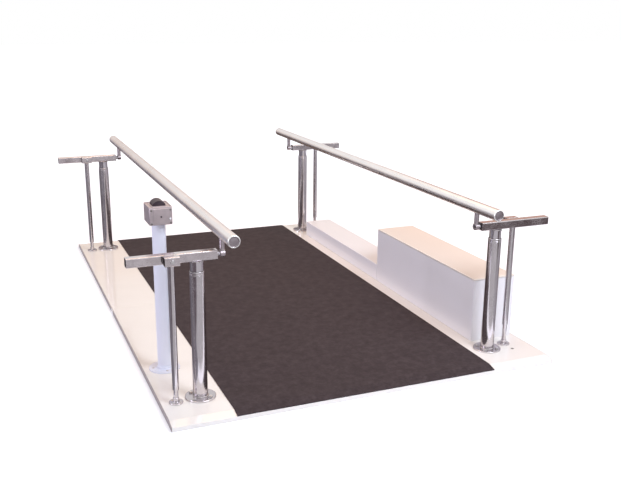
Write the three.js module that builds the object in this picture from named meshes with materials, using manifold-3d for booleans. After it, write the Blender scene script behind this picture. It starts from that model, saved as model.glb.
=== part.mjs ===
// Powered-height walking parallel bars on a low platform, in millimetres, +Z up.
// X runs across the walkway, Y along it. X = 0 is midway between the handrails, Y = 0 is the
// platform's middle joint and Z = 0 is the floor. The lift is drawn a little above its lowest stop.

import * as THREE from 'three';
import { mergeVertices } from 'three/addons/utils/BufferGeometryUtils.js';
import Module from 'manifold-3d';

const wasm = await Module();
wasm.setup();

// Driving dimensions of the whole object.
const railSpacing = 987;
const columnSpan = 1970;
const liftUp = 300;
const liftDown = 25;
const widthTravel = 200;

// Clearances: between touching pieces, round a sliding piece, and the overrun of a cut.
const seat = 0.3;
const slip = 0.3;
const overrun = 1;

// Counts of flat sides on round pieces, and of steps round a corner.
const sides = { large: 24, rail: 28, small: 16, bolt: 6, pipe: 8, corner: 3, arch: 14 };

// The platform: two laminated boards, with a bevelled toe strip at each end.
const deck = {
  thickness: 24, endMargin: 132, toeLength: 38, toeHeight: 15, joint: 1, toeJoint: 0.6,
  leftMargin: 28, rightMargin: 14,
};
const mat = { thickness: 3, toFlange: 26 };

// The telescopic column: a barrel welded through a round flange, with a gland ring on top.
const barrel = { radius: 25, wall: 2.5, below: 22, floor: 3, port: 2.5 };
const flange = { radius: 53, thickness: 6, chamfer: 1.5, boltCircle: 39, weld: 3 };
const gland = { height: 12, chamfer: 2 };
const ram = { play: 0.5, wall: 4, floor: 12, foot: 30, engaged: 118, shown: 10.5, lip: 1.5, lipHeight: 6 };
const bolt = { radius: 4, headRadius: 7, headHeight: 5.5, length: 22, fit: 0.4 };
const boltTurn = Math.PI / 4;

// The arm: a square tube across the ram, with a short square tube welded to its side.
const arm = { size: 31, wall: 2.5, corner: 3, inboard: 69 };
const bracket = { length: 50, weld: 0.4 };
const bracketBolt = { radius: 3, headRadius: 6, headHeight: 4 };

// The guide: a tube under the arm that runs on a fixed rod and keeps the ram from turning.
// The gaps are those left under each tube at the lift's lowest stop.
const guide = { reach: 89, offset: 16, radius: 11, wall: 2.6 };
const guideGaps = { left: 19, frontRight: 55, rearRight: 35 };
const rod = { play: 0.4, belowArm: 11 };
const foot = { radius: 24, thickness: 5, collar: 10.5, collarHeight: 14, screwCircle: 17.5 };
const screw = { radius: 2.2, headRadius: 4.4, headHeight: 2.8, length: 16, fit: 0.4 };

// The slide bar inside the arm, its bush, and the post that carries the handrail.
const bar = { radius: 8, bore: 5, inset: 3, recess: 35, shoe: 38, stop: 1 };
const bush = { inset: 8, length: 18 };
const post = { toColumn: 87.5, hubRadius: 12, hubLength: 17, radius: 9, rise: 74 };
const rail = { radius: 21.5, wall: 2, frontOverhang: 140, rearOverhang: 170 };
const plug = { inset: 2.5, length: 14 };

// The control pedestal on the left board.
const stand = { fromColumn: 279, outside: 62, radius: 24.5, wall: 2.5, height: 557 };
const standFoot = { radius: 57, thickness: 5, hub: 28, hubHeight: 8, screwCircle: 42, turn: 0 };
const caseSize = { width: 81, depth: 99, height: 61, wall: 4, corner: 6, cable: 12 };
const casePost = { width: 8.5, height: 8 };
const caseRim = { frame: 5, lip: 3.5, height: 3 };
const cover = { thickness: 4, inset: 1.5, corner: 4 };
const coverScrew = { radius: 1.6, headRadius: 3.5, headHeight: 2.2, length: 14, inset: 7, fit: 0.3 };
const rocker = {
  width: 44, depth: 54, crown: 20, shoulder: 8, skirt: 4, pin: 2, pinLength: 3, pivot: 0.4,
  sideGap: 1.5, endGap: 1.2, pinFit: 0.4,
};
const switchBlock = { toPost: 3.5, ledge: 5.8, height: 22, well: 5 };

// The motor housing and the low duct on the right board.
const housing = { behind: 19, width: 192, toColumn: 87, length: 846, height: 254, wall: 3, corner: 9 };
const lid = { thickness: 7 };
const duct = { width: 150, toColumn: 115, height: 81, wall: 3, corner: 5, notch: 14, notchWidth: 29 };
const inlet = {
  fromRear: 120, height: 60, width: 48, tall: 26, plate: 2, bodyWidth: 28, bodyTall: 20,
  bodyDepth: 22, pinWidth: 22, pinTall: 14, pinDepth: 16,
};

// The hydraulic power unit inside the housing.
const motor = { fromFront: 38, toWall: 5, length: 220, axis: 82, footLength: 150, step: 8, fan: 24, front: 14 };
const pump = { toWall: 19, length: 80, height: 124 };
const divider = { width: 20, length: 66, height: 40 };
const tank = { toWall: 9, length: 300, height: 165, corner: 12, cap: 20, capHeight: 18 };
const pipe = {
  radius: 4, lane: 10, toDuct: 2.7, run: 4, level: 10, channel: 15, above: 2, offset: 45,
};
const pipeDrop = { fromHousing: 28, fromDuct: 20 };
const portSteps = [-24, -10, 10, 24];

// Places worked out from the sizes above.
const columnX = railSpacing / 2 + post.toColumn;
const columnY = columnSpan / 2;
const deckTop = deck.thickness;
const ramRadius = barrel.radius - barrel.wall - ram.play;
const ramBottom = deckTop - barrel.below + barrel.floor + ram.foot + liftDown;
const columnHeight = ramBottom + liftUp + ram.engaged;
const armBottom = columnHeight + liftDown + ram.shown;
const armAxis = armBottom + arm.size / 2;
const railAxis = armAxis + post.rise;
const deckEnd = columnY + deck.endMargin + deck.toeLength;
const deckLeft = -(columnX + guide.reach + foot.radius + deck.leftMargin);
const housingLeft = columnX - housing.behind;
const housingRight = housingLeft + housing.width;
const deckRight = housingRight + deck.rightMargin;
const matHalf = columnX - flange.radius - mat.toFlange;
const housingFront = -(columnY - housing.toColumn);
const housingRear = housingFront + housing.length;
const ductRear = columnY - duct.toColumn;
const standX = -(columnX + stand.outside);
const standY = -(columnY - stand.fromColumn);
const armHollow = arm.size / 2 - arm.wall;
const shoeOutboard = widthTravel - arm.inboard + bush.inset + bush.length + bar.shoe + bar.stop;
const armOutboard = shoeOutboard + bar.recess;
const rodRadius = guide.radius - guide.wall - rod.play;
const ductInside = housingLeft + duct.width - duct.wall;

// Shape helpers

function closed(geometry) {
  // Keeps only positions, merges shared points and drops triangles that have no area.
  const bare = new THREE.BufferGeometry();
  bare.setAttribute('position', geometry.getAttribute('position').clone());
  if (geometry.index) bare.setIndex(geometry.index.clone());
  const merged = mergeVertices(bare);
  const index = merged.index.array;
  const kept = [];
  for (let i = 0; i < index.length; i += 3) {
    const [a, b, c] = [index[i], index[i + 1], index[i + 2]];
    if (a !== b && b !== c && c !== a) kept.push(a, b, c);
  }
  merged.setIndex(kept);
  return merged;
}

function solid(geometry) {
  const merged = closed(geometry);
  const vertProperties = new Float32Array(merged.getAttribute('position').array);
  const triVerts = new Uint32Array(merged.index.array);
  return new wasm.Manifold(new wasm.Mesh({ numProp: 3, vertProperties, triVerts }));
}

function surface(body) {
  const mesh = body.getMesh();
  const geometry = new THREE.BufferGeometry();
  geometry.setAttribute('position', new THREE.BufferAttribute(mesh.vertProperties, 3));
  geometry.setIndex(new THREE.BufferAttribute(mesh.triVerts, 1));
  return geometry;
}

function cut(geometry, cutters) {
  let body = solid(geometry);
  for (const cutter of cutters) body = body.subtract(solid(cutter));
  return surface(body);
}

function join(geometry, others) {
  let body = solid(geometry);
  for (const other of others) body = body.add(solid(other));
  return surface(body);
}

function block(x, y, z) {
  const geometry = new THREE.BoxGeometry(x[1] - x[0], y[1] - y[0], z[1] - z[0]);
  return geometry.translate((x[0] + x[1]) / 2, (y[0] + y[1]) / 2, (z[0] + z[1]) / 2);
}

function turned(profile, count) {
  // A profile of [radius, height] pairs, from the bottom of the axis round the outside to its top.
  const points = profile.map(([radius, height]) => new THREE.Vector2(radius, height));
  return new THREE.LatheGeometry(points, count).rotateX(Math.PI / 2);
}

function drum(radius, bottom, top, count) {
  return turned([[0, bottom], [radius, bottom], [radius, top], [0, top]], count);
}

function tube(outer, inner, bottom, top, count) {
  return turned([[inner, bottom], [outer, bottom], [outer, top], [inner, top], [inner, bottom]], count);
}

const [axisX, axisY, axisZ] = [[1, 0, 0], [0, 1, 0], [0, 0, 1]].map((v) => new THREE.Vector3(...v));

function alongX(geometry) {
  // Lays a shape that stands on Z along X: its own X becomes Y and its own Y becomes Z.
  return geometry.applyMatrix4(new THREE.Matrix4().makeBasis(axisY, axisZ, axisX));
}

function alongY(geometry) {
  // Lays a shape that stands on Z along Y: its own X becomes Z and its own Y becomes X.
  return geometry.applyMatrix4(new THREE.Matrix4().makeBasis(axisZ, axisX, axisY));
}

function roundedPath(path, width, height, radius) {
  const [x, y] = [width / 2, height / 2];
  path.moveTo(-x + radius, -y);
  path.lineTo(x - radius, -y);
  path.absarc(x - radius, -y + radius, radius, -Math.PI / 2, 0);
  path.lineTo(x, y - radius);
  path.absarc(x - radius, y - radius, radius, 0, Math.PI / 2);
  path.lineTo(-x + radius, y);
  path.absarc(-x + radius, y - radius, radius, Math.PI / 2, Math.PI);
  path.lineTo(-x, -y + radius);
  path.absarc(-x + radius, -y + radius, radius, Math.PI, 1.5 * Math.PI);
  return path;
}

function squarePath(path, width, height) {
  const [x, y] = [width / 2, height / 2];
  return path.moveTo(-x, -y).lineTo(x, -y).lineTo(x, y).lineTo(-x, y).lineTo(-x, -y);
}

function extrude(shape, depth) {
  return new THREE.ExtrudeGeometry(shape, { depth, bevelEnabled: false, curveSegments: sides.corner });
}

function squareTube(length) {
  const shape = roundedPath(new THREE.Shape(), arm.size, arm.size, arm.corner);
  shape.holes.push(squarePath(new THREE.Path(), 2 * armHollow, 2 * armHollow));
  return alongX(extrude(shape, length));
}

function roundedBlock(width, depth, height, radius) {
  return extrude(roundedPath(new THREE.Shape(), width, depth, radius), height);
}

function mitredPipe(points, radius, count) {
  // A round pipe along straight runs: each ring slides along its run onto the plane that halves the bend.
  const directions = points.slice(1).map((p, i) => p.clone().sub(points[i]).normalize());
  const side = Math.abs(directions[0].z) > 0 ? axisX : axisZ;
  const other = directions[0].clone().cross(side);
  let ring = [];
  for (let k = 0; k < count; k += 1) {
    const angle = 2 * Math.PI * k / count;
    const spoke = side.clone().multiplyScalar(Math.cos(angle)).addScaledVector(other, Math.sin(angle));
    ring.push(points[0].clone().addScaledVector(spoke, radius));
  }
  const vertices = [points[0].clone(), ...ring];
  directions.forEach((direction, i) => {
    const normal = direction.clone().add(directions[i + 1] ?? direction);
    ring = ring.map((q) => {
      const distance = points[i + 1].clone().sub(q).dot(normal) / direction.dot(normal);
      return q.clone().addScaledVector(direction, distance);
    });
    vertices.push(...ring);
  });
  vertices.push(points.at(-1).clone());
  const last = vertices.length - 1;
  const index = [];
  for (let k = 0; k < count; k += 1) {
    const n = (k + 1) % count;
    index.push(0, 1 + n, 1 + k);
    for (let i = 0; i < directions.length; i += 1) {
      const [a, b] = [1 + i * count, 1 + (i + 1) * count];
      index.push(a + k, a + n, b + n, a + k, b + n, b + k);
    }
    index.push(last, last - count + k, last - count + n);
  }
  const geometry = new THREE.BufferGeometry().setFromPoints(vertices);
  geometry.setIndex(index);
  return geometry;
}

function fastener(size, bottom, headBottom) {
  // A bolt or screw: its shank rises from the bottom, and its head stands on the head's bottom.
  const top = headBottom + size.headHeight;
  return turned([
    [0, bottom], [size.radius, bottom], [size.radius, headBottom],
    [size.headRadius, headBottom], [size.headRadius, top], [0, top],
  ], sides.bolt);
}

function shankHole(size, bottom, top) {
  return drum(size.radius + size.fit, bottom, top, sides.bolt);
}

function ringPlaces(radius, turn) {
  return [0, 1, 2, 3].map((k) => {
    const angle = turn + k * Math.PI / 2;
    return [radius * Math.cos(angle), radius * Math.sin(angle)];
  });
}

// Finishes

const finishes = {
  polished: { color: 0xb9b4b8, roughness: 0.12, metalness: 1 },
  satin: { color: 0xdcd9dc, roughness: 0.3, metalness: 1 },
  arm: { color: 0x9a9498, roughness: 0.28, metalness: 1 },
  zinc: { color: 0x8f8c90, roughness: 0.4, metalness: 1 },
  laminate: { color: 0xf4ece6, roughness: 0.25, metalness: 0 },
  rubber: { color: 0x4d4344, roughness: 0.85, metalness: 0 },
  enamel: { color: 0xe6e5ee, roughness: 0.35, metalness: 0 },
  cast: { color: 0xa29a9e, roughness: 0.5, metalness: 1 },
  black: { color: 0x2a2628, roughness: 0.45, metalness: 0 },
  nylon: { color: 0x8f898c, roughness: 0.6, metalness: 0 },
  motor: { color: 0x4b5560, roughness: 0.5, metalness: 0 },
  tank: { color: 0x8c8f94, roughness: 0.5, metalness: 0 },
};

function piece(parent, name, geometry, finish) {
  const mesh = new THREE.Mesh(closed(geometry), new THREE.MeshStandardMaterial(finishes[finish]));
  mesh.name = name;
  parent.add(mesh);
  return mesh;
}

const bars = new THREE.Group();

// Where each tower stands. A left tower is a right one turned half round.
const towers = [
  { name: 'front_left', side: -1, end: -1, gap: guideGaps.left },
  { name: 'rear_left', side: -1, end: 1, gap: guideGaps.left },
  { name: 'front_right', side: 1, end: -1, gap: guideGaps.frontRight },
  { name: 'rear_right', side: 1, end: 1, gap: guideGaps.rearRight },
];

function towerPlace(tower, x, y) {
  return [tower.side * (columnX + x), tower.end * columnY + tower.side * y];
}

// Hydraulic pipes, from the flow divider beside the pump to the foot of each column

const firstLane = ductInside - pipe.toDuct - pipe.radius - pipe.lane;
const dividerLeft = firstLane - pipe.radius - pipe.run - divider.width;
const unitLeft = housingLeft + housing.wall;
const pumpHalf = (dividerLeft - seat - unitLeft - pump.toWall) / 2;
const pumpX = unitLeft + pump.toWall + pumpHalf;
const pumpFront = housingFront + motor.fromFront + motor.length + seat;
const dividerY = pumpFront + pump.length / 2;
const frontDrop = housingFront + pipeDrop.fromHousing;
const rearDrop = ductRear - pipeDrop.fromDuct;
const pipeTop = deckTop + seat + pipe.radius;
const channelDepth = pipe.level + pipe.radius + pipe.above;

function pipeRoute(tower, port, lane, drop) {
  const laneX = firstLane + lane * pipe.lane;
  const portY = dividerY + portSteps[port];
  const points = [[dividerLeft + divider.width / 2, portY, pipeTop], [laneX, portY, pipeTop]];
  points.push([laneX, drop, pipeTop], [laneX, drop, pipe.level]);
  if (tower.side > 0) {
    points.push([laneX, tower.end * columnY, pipe.level]);
    points.push([columnX + barrel.radius + seat, tower.end * columnY, pipe.level]);
  } else {
    const inner = tower.end * (columnY - pipe.offset);
    points.push([laneX, inner, pipe.level], [-columnX, inner, pipe.level]);
    points.push([-columnX, tower.end * (columnY - barrel.radius - seat), pipe.level]);
  }
  return points.map((p) => new THREE.Vector3(...p));
}

const routes = [
  pipeRoute(towers[0], 0, 1, frontDrop),
  pipeRoute(towers[2], 1, 2, frontDrop),
  pipeRoute(towers[3], 2, 1, rearDrop),
  pipeRoute(towers[1], 3, 0, rearDrop),
];

function channels(route) {
  // The drop through the board, and the channel in its underside that the pipe lies in.
  const half = pipe.channel / 2;
  const low = route.slice(3);
  const drop = low[0];
  const holes = [block([drop.x - half, drop.x + half], [drop.y - half, drop.y + half],
    [-overrun, deckTop + overrun])];
  for (let i = 1; i < low.length; i += 1) {
    const [a, b] = [low[i - 1], low[i]];
    const x = [Math.min(a.x, b.x) - half, Math.max(a.x, b.x) + half];
    const y = [Math.min(a.y, b.y) - half, Math.max(a.y, b.y) + half];
    holes.push(block(x, y, [-overrun, channelDepth]));
  }
  return holes;
}

// Platform boards, toe strips and walkway mat

const boltBottom = deckTop + seat + flange.thickness + bolt.headHeight - bolt.length;
const screwBottom = deckTop + seat + foot.thickness + screw.headHeight - screw.length;

function board(end) {
  const near = deck.joint / 2;
  const far = deckEnd - deck.toeLength;
  const y = end < 0 ? [-far, -near] : [near, far];
  const through = [-overrun, deckTop + overrun];
  const holes = routes.filter((route) => route[3].y * end > 0).flatMap(channels);
  for (const tower of towers.filter((t) => t.end === end)) {
    const [x0, y0] = towerPlace(tower, 0, 0);
    holes.push(drum(barrel.radius + seat, ...through, sides.large).translate(x0, y0, 0));
    for (const [bx, by] of ringPlaces(flange.boltCircle, boltTurn)) {
      holes.push(shankHole(bolt, boltBottom - overrun, through[1]).translate(x0 + bx, y0 + by, 0));
    }
    const [fx, fy] = towerPlace(tower, guide.reach, guide.offset);
    for (const [sx, sy] of ringPlaces(foot.screwCircle, boltTurn)) {
      holes.push(shankHole(screw, screwBottom - overrun, through[1]).translate(fx + sx, fy + sy, 0));
    }
  }
  if (end < 0) {
    for (const [sx, sy] of ringPlaces(standFoot.screwCircle, standFoot.turn)) {
      const hole = shankHole(screw, screwBottom - overrun, through[1]);
      holes.push(hole.translate(standX + sx, standY + sy, 0));
    }
  }
  return cut(block([deckLeft, deckRight], y, [0, deckTop]), holes);
}

function toeStrip(end) {
  const inner = deckEnd - deck.toeLength + deck.toeJoint;
  const shape = new THREE.Shape();
  shape.moveTo(end * deckEnd, 0).lineTo(end * deckEnd, deck.toeHeight);
  shape.lineTo(end * inner, deckTop).lineTo(end * inner, 0).lineTo(end * deckEnd, 0);
  return alongX(extrude(shape, deckRight - deckLeft)).translate(deckLeft, 0, 0);
}

for (const [name, end] of [['front', -1], ['rear', 1]]) {
  piece(bars, `${name}_deck`, board(end), 'laminate');
  piece(bars, `${name}_toe_strip`, toeStrip(end), 'laminate');
}

function walkwayMat() {
  const crease = deckEnd - deck.toeLength;
  const under = [[-deckEnd, deck.toeHeight], [-crease, deckTop], [crease, deckTop], [deckEnd, deck.toeHeight]];
  const low = under.map(([y, z]) => new THREE.Vector2(y, z + seat));
  const high = under.map(([y, z]) => new THREE.Vector2(y, z + seat + mat.thickness)).reverse();
  const shape = new THREE.Shape([...low, ...high]);
  return alongX(extrude(shape, 2 * matHalf)).translate(-matHalf, 0, 0);
}

piece(bars, 'walkway_mat', walkwayMat(), 'rubber');

// Columns

const flangeBottom = deckTop + seat;
const flangeTop = flangeBottom + flange.thickness;
const glandBottom = columnHeight - gland.height;

function columnBarrel(tower) {
  const bottom = deckTop - barrel.below;
  const inside = barrel.radius - barrel.wall;
  const profile = [
    [0, bottom], [barrel.radius, bottom], [barrel.radius, flangeBottom], [flange.radius, flangeBottom],
    [flange.radius, flangeTop - flange.chamfer], [flange.radius - flange.chamfer, flangeTop],
    [barrel.radius + flange.weld, flangeTop], [barrel.radius, flangeTop + flange.weld],
    [barrel.radius, glandBottom - seat], [inside, glandBottom - seat], [inside, bottom + barrel.floor],
    [0, bottom + barrel.floor],
  ];
  // The port faces the pipe: outboard on a right tower, towards the middle joint on a left one.
  const port = drum(barrel.port, 0, barrel.radius + overrun, sides.bolt);
  if (tower.side > 0) alongX(port);
  else alongY(port).rotateZ(tower.end < 0 ? Math.PI : 0);
  const bolts = ringPlaces(flange.boltCircle, boltTurn).map(([x, y]) => (
    fastener(bolt, boltBottom, flangeTop).translate(x, y, 0)));
  return join(cut(turned(profile, sides.large), [port.translate(0, 0, pipe.level)]), bolts);
}

function glandRing() {
  const bore = ramRadius + slip;
  return turned([
    [bore, glandBottom], [barrel.radius, glandBottom], [barrel.radius, columnHeight - gland.chamfer],
    [barrel.radius - gland.chamfer, columnHeight], [bore, columnHeight], [bore, glandBottom],
  ], sides.large);
}

function liftRam() {
  const top = armBottom - seat;
  const inside = ramRadius - ram.wall;
  return turned([
    [0, ramBottom], [ramRadius, ramBottom], [ramRadius, top - ram.lipHeight - ram.lip],
    [ramRadius + ram.lip, top - ram.lipHeight], [ramRadius + ram.lip, top], [inside, top],
    [inside, ramBottom + ram.floor], [0, ramBottom + ram.floor],
  ], sides.large);
}

// Arms and guides

function liftArm() {
  // The bracket is welded to the arm's side, and one bolt goes through its hollow into the arm's wall.
  const bracketY = arm.size - bracket.weld;
  const face = bracketY + arm.size / 2;
  const whole = squareTube(arm.inboard + armOutboard).translate(-arm.inboard, 0, armAxis);
  const short = squareTube(bracket.length).translate(guide.reach - bracket.length / 2, bracketY, armAxis);
  const through = alongY(fastener(bracketBolt, armHollow + slip, face));
  return join(whole, [short, through.translate(guide.reach, 0, armAxis)]);
}

function guideTube(tower) {
  const bottom = deckTop + foot.thickness + liftDown + tower.gap;
  const inner = guide.radius - guide.wall;
  return tube(guide.radius, inner, bottom, armBottom - seat, sides.small)
    .translate(guide.reach, guide.offset, 0);
}

function guideRod() {
  const bottom = deckTop + seat;
  const plate = bottom + foot.thickness;
  const top = armBottom - liftDown - rod.belowArm;
  const profile = [
    [0, bottom], [foot.radius, bottom], [foot.radius, plate], [foot.collar, plate],
    [foot.collar, plate + foot.collarHeight], [rodRadius, plate + foot.collarHeight],
    [rodRadius, top], [0, top],
  ];
  const screws = ringPlaces(foot.screwCircle, boltTurn).map(([x, y]) => (
    fastener(screw, screwBottom, plate).translate(x, y, 0)));
  return join(turned(profile, sides.small), screws).translate(guide.reach, guide.offset, 0);
}

// Sliding handrail mounts

function barBush() {
  const half = armHollow - slip;
  const start = -arm.inboard + bush.inset;
  const outer = block([start, start + bush.length], [-half, half], [armAxis - half, armAxis + half]);
  const bore = drum(bar.radius + slip, start - overrun, start + bush.length + overrun, sides.small);
  return cut(outer, [alongX(bore).translate(0, 0, armAxis)]);
}

const hubInboard = -post.toColumn - post.hubLength / 2;
const hubOutboard = hubInboard + post.hubLength;

function slideBar() {
  // The bar ends in a square shoe that slides in the arm and stops against the bush.
  const start = hubInboard + bar.inset;
  const half = armHollow - slip;
  const round = alongX(drum(bar.radius, start, shoeOutboard, sides.small)).translate(0, 0, armAxis);
  const shoe = block([shoeOutboard - bar.shoe, shoeOutboard], [-half, half],
    [armAxis - half, armAxis + half]);
  const bore = alongX(drum(bar.bore, start - overrun, shoeOutboard + overrun, sides.pipe));
  return cut(join(round, [shoe]), [bore.translate(0, 0, armAxis)]);
}

function railPost() {
  const x = -post.toColumn;
  const hub = alongX(drum(post.hubRadius, hubInboard, hubOutboard, sides.small));
  hub.translate(0, 0, armAxis);
  const stem = drum(post.radius, armAxis, railAxis, sides.small).translate(x, 0, 0);
  const bore = alongX(drum(bar.radius + slip, hubInboard - overrun, hubOutboard + overrun, sides.small));
  const saddle = alongY(drum(rail.radius + seat, -rail.radius, rail.radius, sides.rail));
  const cutters = [bore.translate(0, 0, armAxis), saddle.translate(x, 0, railAxis)];
  return cut(join(hub, [stem]), cutters);
}

for (const tower of towers) {
  const group = new THREE.Group();
  group.position.set(tower.side * columnX, tower.end * columnY, 0);
  group.rotation.z = tower.side < 0 ? Math.PI : 0;
  bars.add(group);
  piece(group, `column_${tower.name}`, columnBarrel(tower), 'polished');
  piece(group, `gland_${tower.name}`, glandRing(), 'polished');
  piece(group, `ram_${tower.name}`, liftRam(), 'polished');
  piece(group, `arm_${tower.name}`, liftArm(), 'arm');
  piece(group, `guide_tube_${tower.name}`, guideTube(tower), 'polished');
  piece(group, `guide_rod_${tower.name}`, guideRod(), 'polished');
  piece(group, `bush_${tower.name}`, barBush(), 'nylon');
  piece(group, `slide_bar_${tower.name}`, slideBar(), 'zinc');
  piece(group, `rail_post_${tower.name}`, railPost(), 'satin');
}

// Handrails and their end plugs

function endPlug(outer, inner) {
  return alongY(drum(rail.radius - rail.wall - slip, Math.min(outer, inner), Math.max(outer, inner),
    sides.rail));
}

for (const [name, side] of [['left', -1], ['right', 1]]) {
  const place = [side * railSpacing / 2, 0, railAxis];
  const front = -(columnY + rail.frontOverhang);
  const rear = columnY + rail.rearOverhang;
  const whole = alongY(tube(rail.radius, rail.radius - rail.wall, front, rear, sides.rail));
  piece(bars, `handrail_${name}`, whole, 'satin').position.set(...place);
  for (const [where, end, inward] of [['front', front, 1], ['rear', rear, -1]]) {
    const outer = end + inward * plug.inset;
    const shape = endPlug(outer, outer + inward * plug.length);
    piece(bars, `rail_plug_${where}_${name}`, shape, 'cast').position.set(...place);
  }
}

// Control pedestal

const pedestal = new THREE.Group();
pedestal.position.set(standX, standY, 0);
bars.add(pedestal);
const standBottom = deckTop + seat;
const standTop = standBottom + stand.height;

function standPost() {
  const inner = stand.radius - stand.wall;
  const plate = standBottom + standFoot.thickness;
  const hub = plate + standFoot.hubHeight;
  const profile = [
    [inner, standBottom], [standFoot.radius, standBottom], [standFoot.radius, plate], [standFoot.hub, plate],
    [standFoot.hub, hub], [stand.radius, hub], [stand.radius, standTop], [inner, standTop],
    [inner, standBottom],
  ];
  const screws = ringPlaces(standFoot.screwCircle, standFoot.turn).map(([x, y]) => (
    fastener(screw, screwBottom, plate).translate(x, y, 0)));
  return join(turned(profile, sides.large), screws);
}

piece(pedestal, 'pedestal_post', standPost(), 'enamel');

// Control box with its front cover, switch block and rocker

const caseBottom = standTop + seat;
const caseTop = caseBottom + caseSize.height;
const caseMiddle = (caseBottom + caseTop) / 2;
const caseFront = -caseSize.depth / 2;
const caseRear = caseSize.depth / 2;
const caseInside = caseTop - caseSize.wall;
const pivotHeight = caseTop + rocker.pivot;
const windowHalf = [rocker.width / 2 + rocker.sideGap, rocker.depth / 2 + rocker.endGap];
const coverFront = caseFront - seat - cover.thickness;
const screwPlaces = [[-1, -1], [1, -1], [1, 1], [-1, 1]].map(([x, z]) => [
  x * (caseSize.width / 2 - coverScrew.inset), caseMiddle + z * (caseSize.height / 2 - coverScrew.inset),
]);

function controlCase() {
  // The top is a shallow tray: a lip runs round its edge, and a frame stands round the rocker's window.
  const solid = roundedBlock(caseSize.width, caseSize.depth, caseSize.height + caseRim.height, caseSize.corner);
  const tray = roundedBlock(caseSize.width - 2 * caseRim.lip, caseSize.depth - 2 * caseRim.lip,
    caseRim.height + overrun, caseSize.corner - caseRim.lip);
  const whole = cut(solid.translate(0, 0, caseBottom), [tray.translate(0, 0, caseTop)]);
  const [wx, wy] = windowHalf;
  const rim = roundedBlock(2 * (wx + caseRim.frame), 2 * (wy + caseRim.frame),
    caseRim.height + overrun, caseRim.frame);
  const x = caseSize.width / 2 - caseSize.wall;
  const z = [caseBottom + caseSize.wall, caseInside];
  const y = [caseFront - overrun, caseRear - caseSize.wall];
  const wide = block([-x, x], y, [z[0] + casePost.height, z[1] - casePost.height]);
  const tall = block([-x + casePost.width, x - casePost.width], y, z);
  const opening = block([-wx, wx], [-wy, wy], [caseInside - overrun, caseTop + caseRim.height + overrun]);
  const cable = drum(caseSize.cable, caseBottom - overrun, z[0] + overrun, sides.small);
  const pinEnd = rocker.depth / 2 + rocker.pinLength + rocker.pinFit;
  const pins = alongY(drum(rocker.pin + rocker.pinFit, -pinEnd, pinEnd, sides.pipe));
  const threads = screwPlaces.map(([sx, sz]) => (
    alongY(drum(coverScrew.radius + coverScrew.fit, caseFront - overrun,
      caseFront + coverScrew.length, sides.bolt)).translate(sx, 0, sz)));
  return cut(join(whole, [rim.translate(0, 0, caseTop - overrun)]),
    [wide, tall, opening, cable, pins.translate(0, 0, pivotHeight), ...threads]);
}

function caseCover() {
  // The cover plate with its four corner screws, and a fifth that goes no deeper than the plate.
  const width = caseSize.width - 2 * cover.inset;
  const height = caseSize.height - 2 * cover.inset;
  const shape = roundedPath(new THREE.Shape(), height, width, cover.corner);
  const plate = alongY(extrude(shape, cover.thickness)).translate(0, coverFront, caseMiddle);
  const screws = screwPlaces.map(([x, z]) => (
    fastener(coverScrew, -(coverScrew.length - coverScrew.headHeight), 0)
      .rotateX(Math.PI / 2).translate(x, coverFront, z)));
  const middle = fastener(coverScrew, -cover.thickness / 2, 0).rotateX(Math.PI / 2);
  return join(plate, [...screws, middle.translate(0, coverFront, caseMiddle)]);
}

function switchBody() {
  // The two-way switch hangs under the box's top by its two ends, with a well that the rocker dips into.
  const x = caseSize.width / 2 - caseSize.wall - casePost.width - switchBlock.toPost;
  const y = windowHalf[1] + switchBlock.ledge;
  const top = caseInside - seat;
  const body = block([-x, x], [-y, y], [top - switchBlock.height, top]);
  const well = block([-x - overrun, x + overrun], [-windowHalf[1], windowHalf[1]],
    [top - switchBlock.well, top + overrun]);
  return cut(body, [well]);
}

function rockerButton() {
  // The top is one arc from shoulder to shoulder, over the pivot line.
  const half = rocker.width / 2;
  const rise = rocker.crown - rocker.shoulder;
  const radius = (half * half + rise * rise) / (2 * rise);
  const start = Math.asin(half / radius);
  const shape = new THREE.Shape();
  shape.moveTo(-rocker.skirt, -half);
  shape.lineTo(-rocker.skirt, half);
  shape.lineTo(rocker.shoulder, half);
  shape.absarc(rocker.crown - radius, 0, radius, start, -start, true);
  shape.lineTo(-rocker.skirt, -half);
  const steps = { depth: rocker.depth, bevelEnabled: false, curveSegments: sides.arch };
  const body = alongY(new THREE.ExtrudeGeometry(shape, steps)).translate(0, -rocker.depth / 2, 0);
  const reach = rocker.depth / 2 + rocker.pinLength;
  return join(body, [alongY(drum(rocker.pin, -reach, reach, sides.pipe))]);
}

piece(pedestal, 'control_box', controlCase(), 'cast');
piece(pedestal, 'control_box_cover', caseCover(), 'cast');
piece(pedestal, 'switch_block', switchBody(), 'black');
piece(pedestal, 'rocker_switch', rockerButton(), 'black').position.set(0, 0, pivotHeight);

// Motor housing, lid, mains inlet and duct

const coverBottom = deckTop + seat;
const housingX = (housingLeft + housingRight) / 2;
const housingY = (housingFront + housingRear) / 2;
const shellTop = coverBottom + housing.height;
const inletPlace = [housingRight + seat, housingRear - inlet.fromRear, coverBottom + inlet.height];

function inletBlock(width, tall, near, far) {
  return block([near, far], [-width / 2, width / 2], [-tall / 2, tall / 2]);
}

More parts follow.
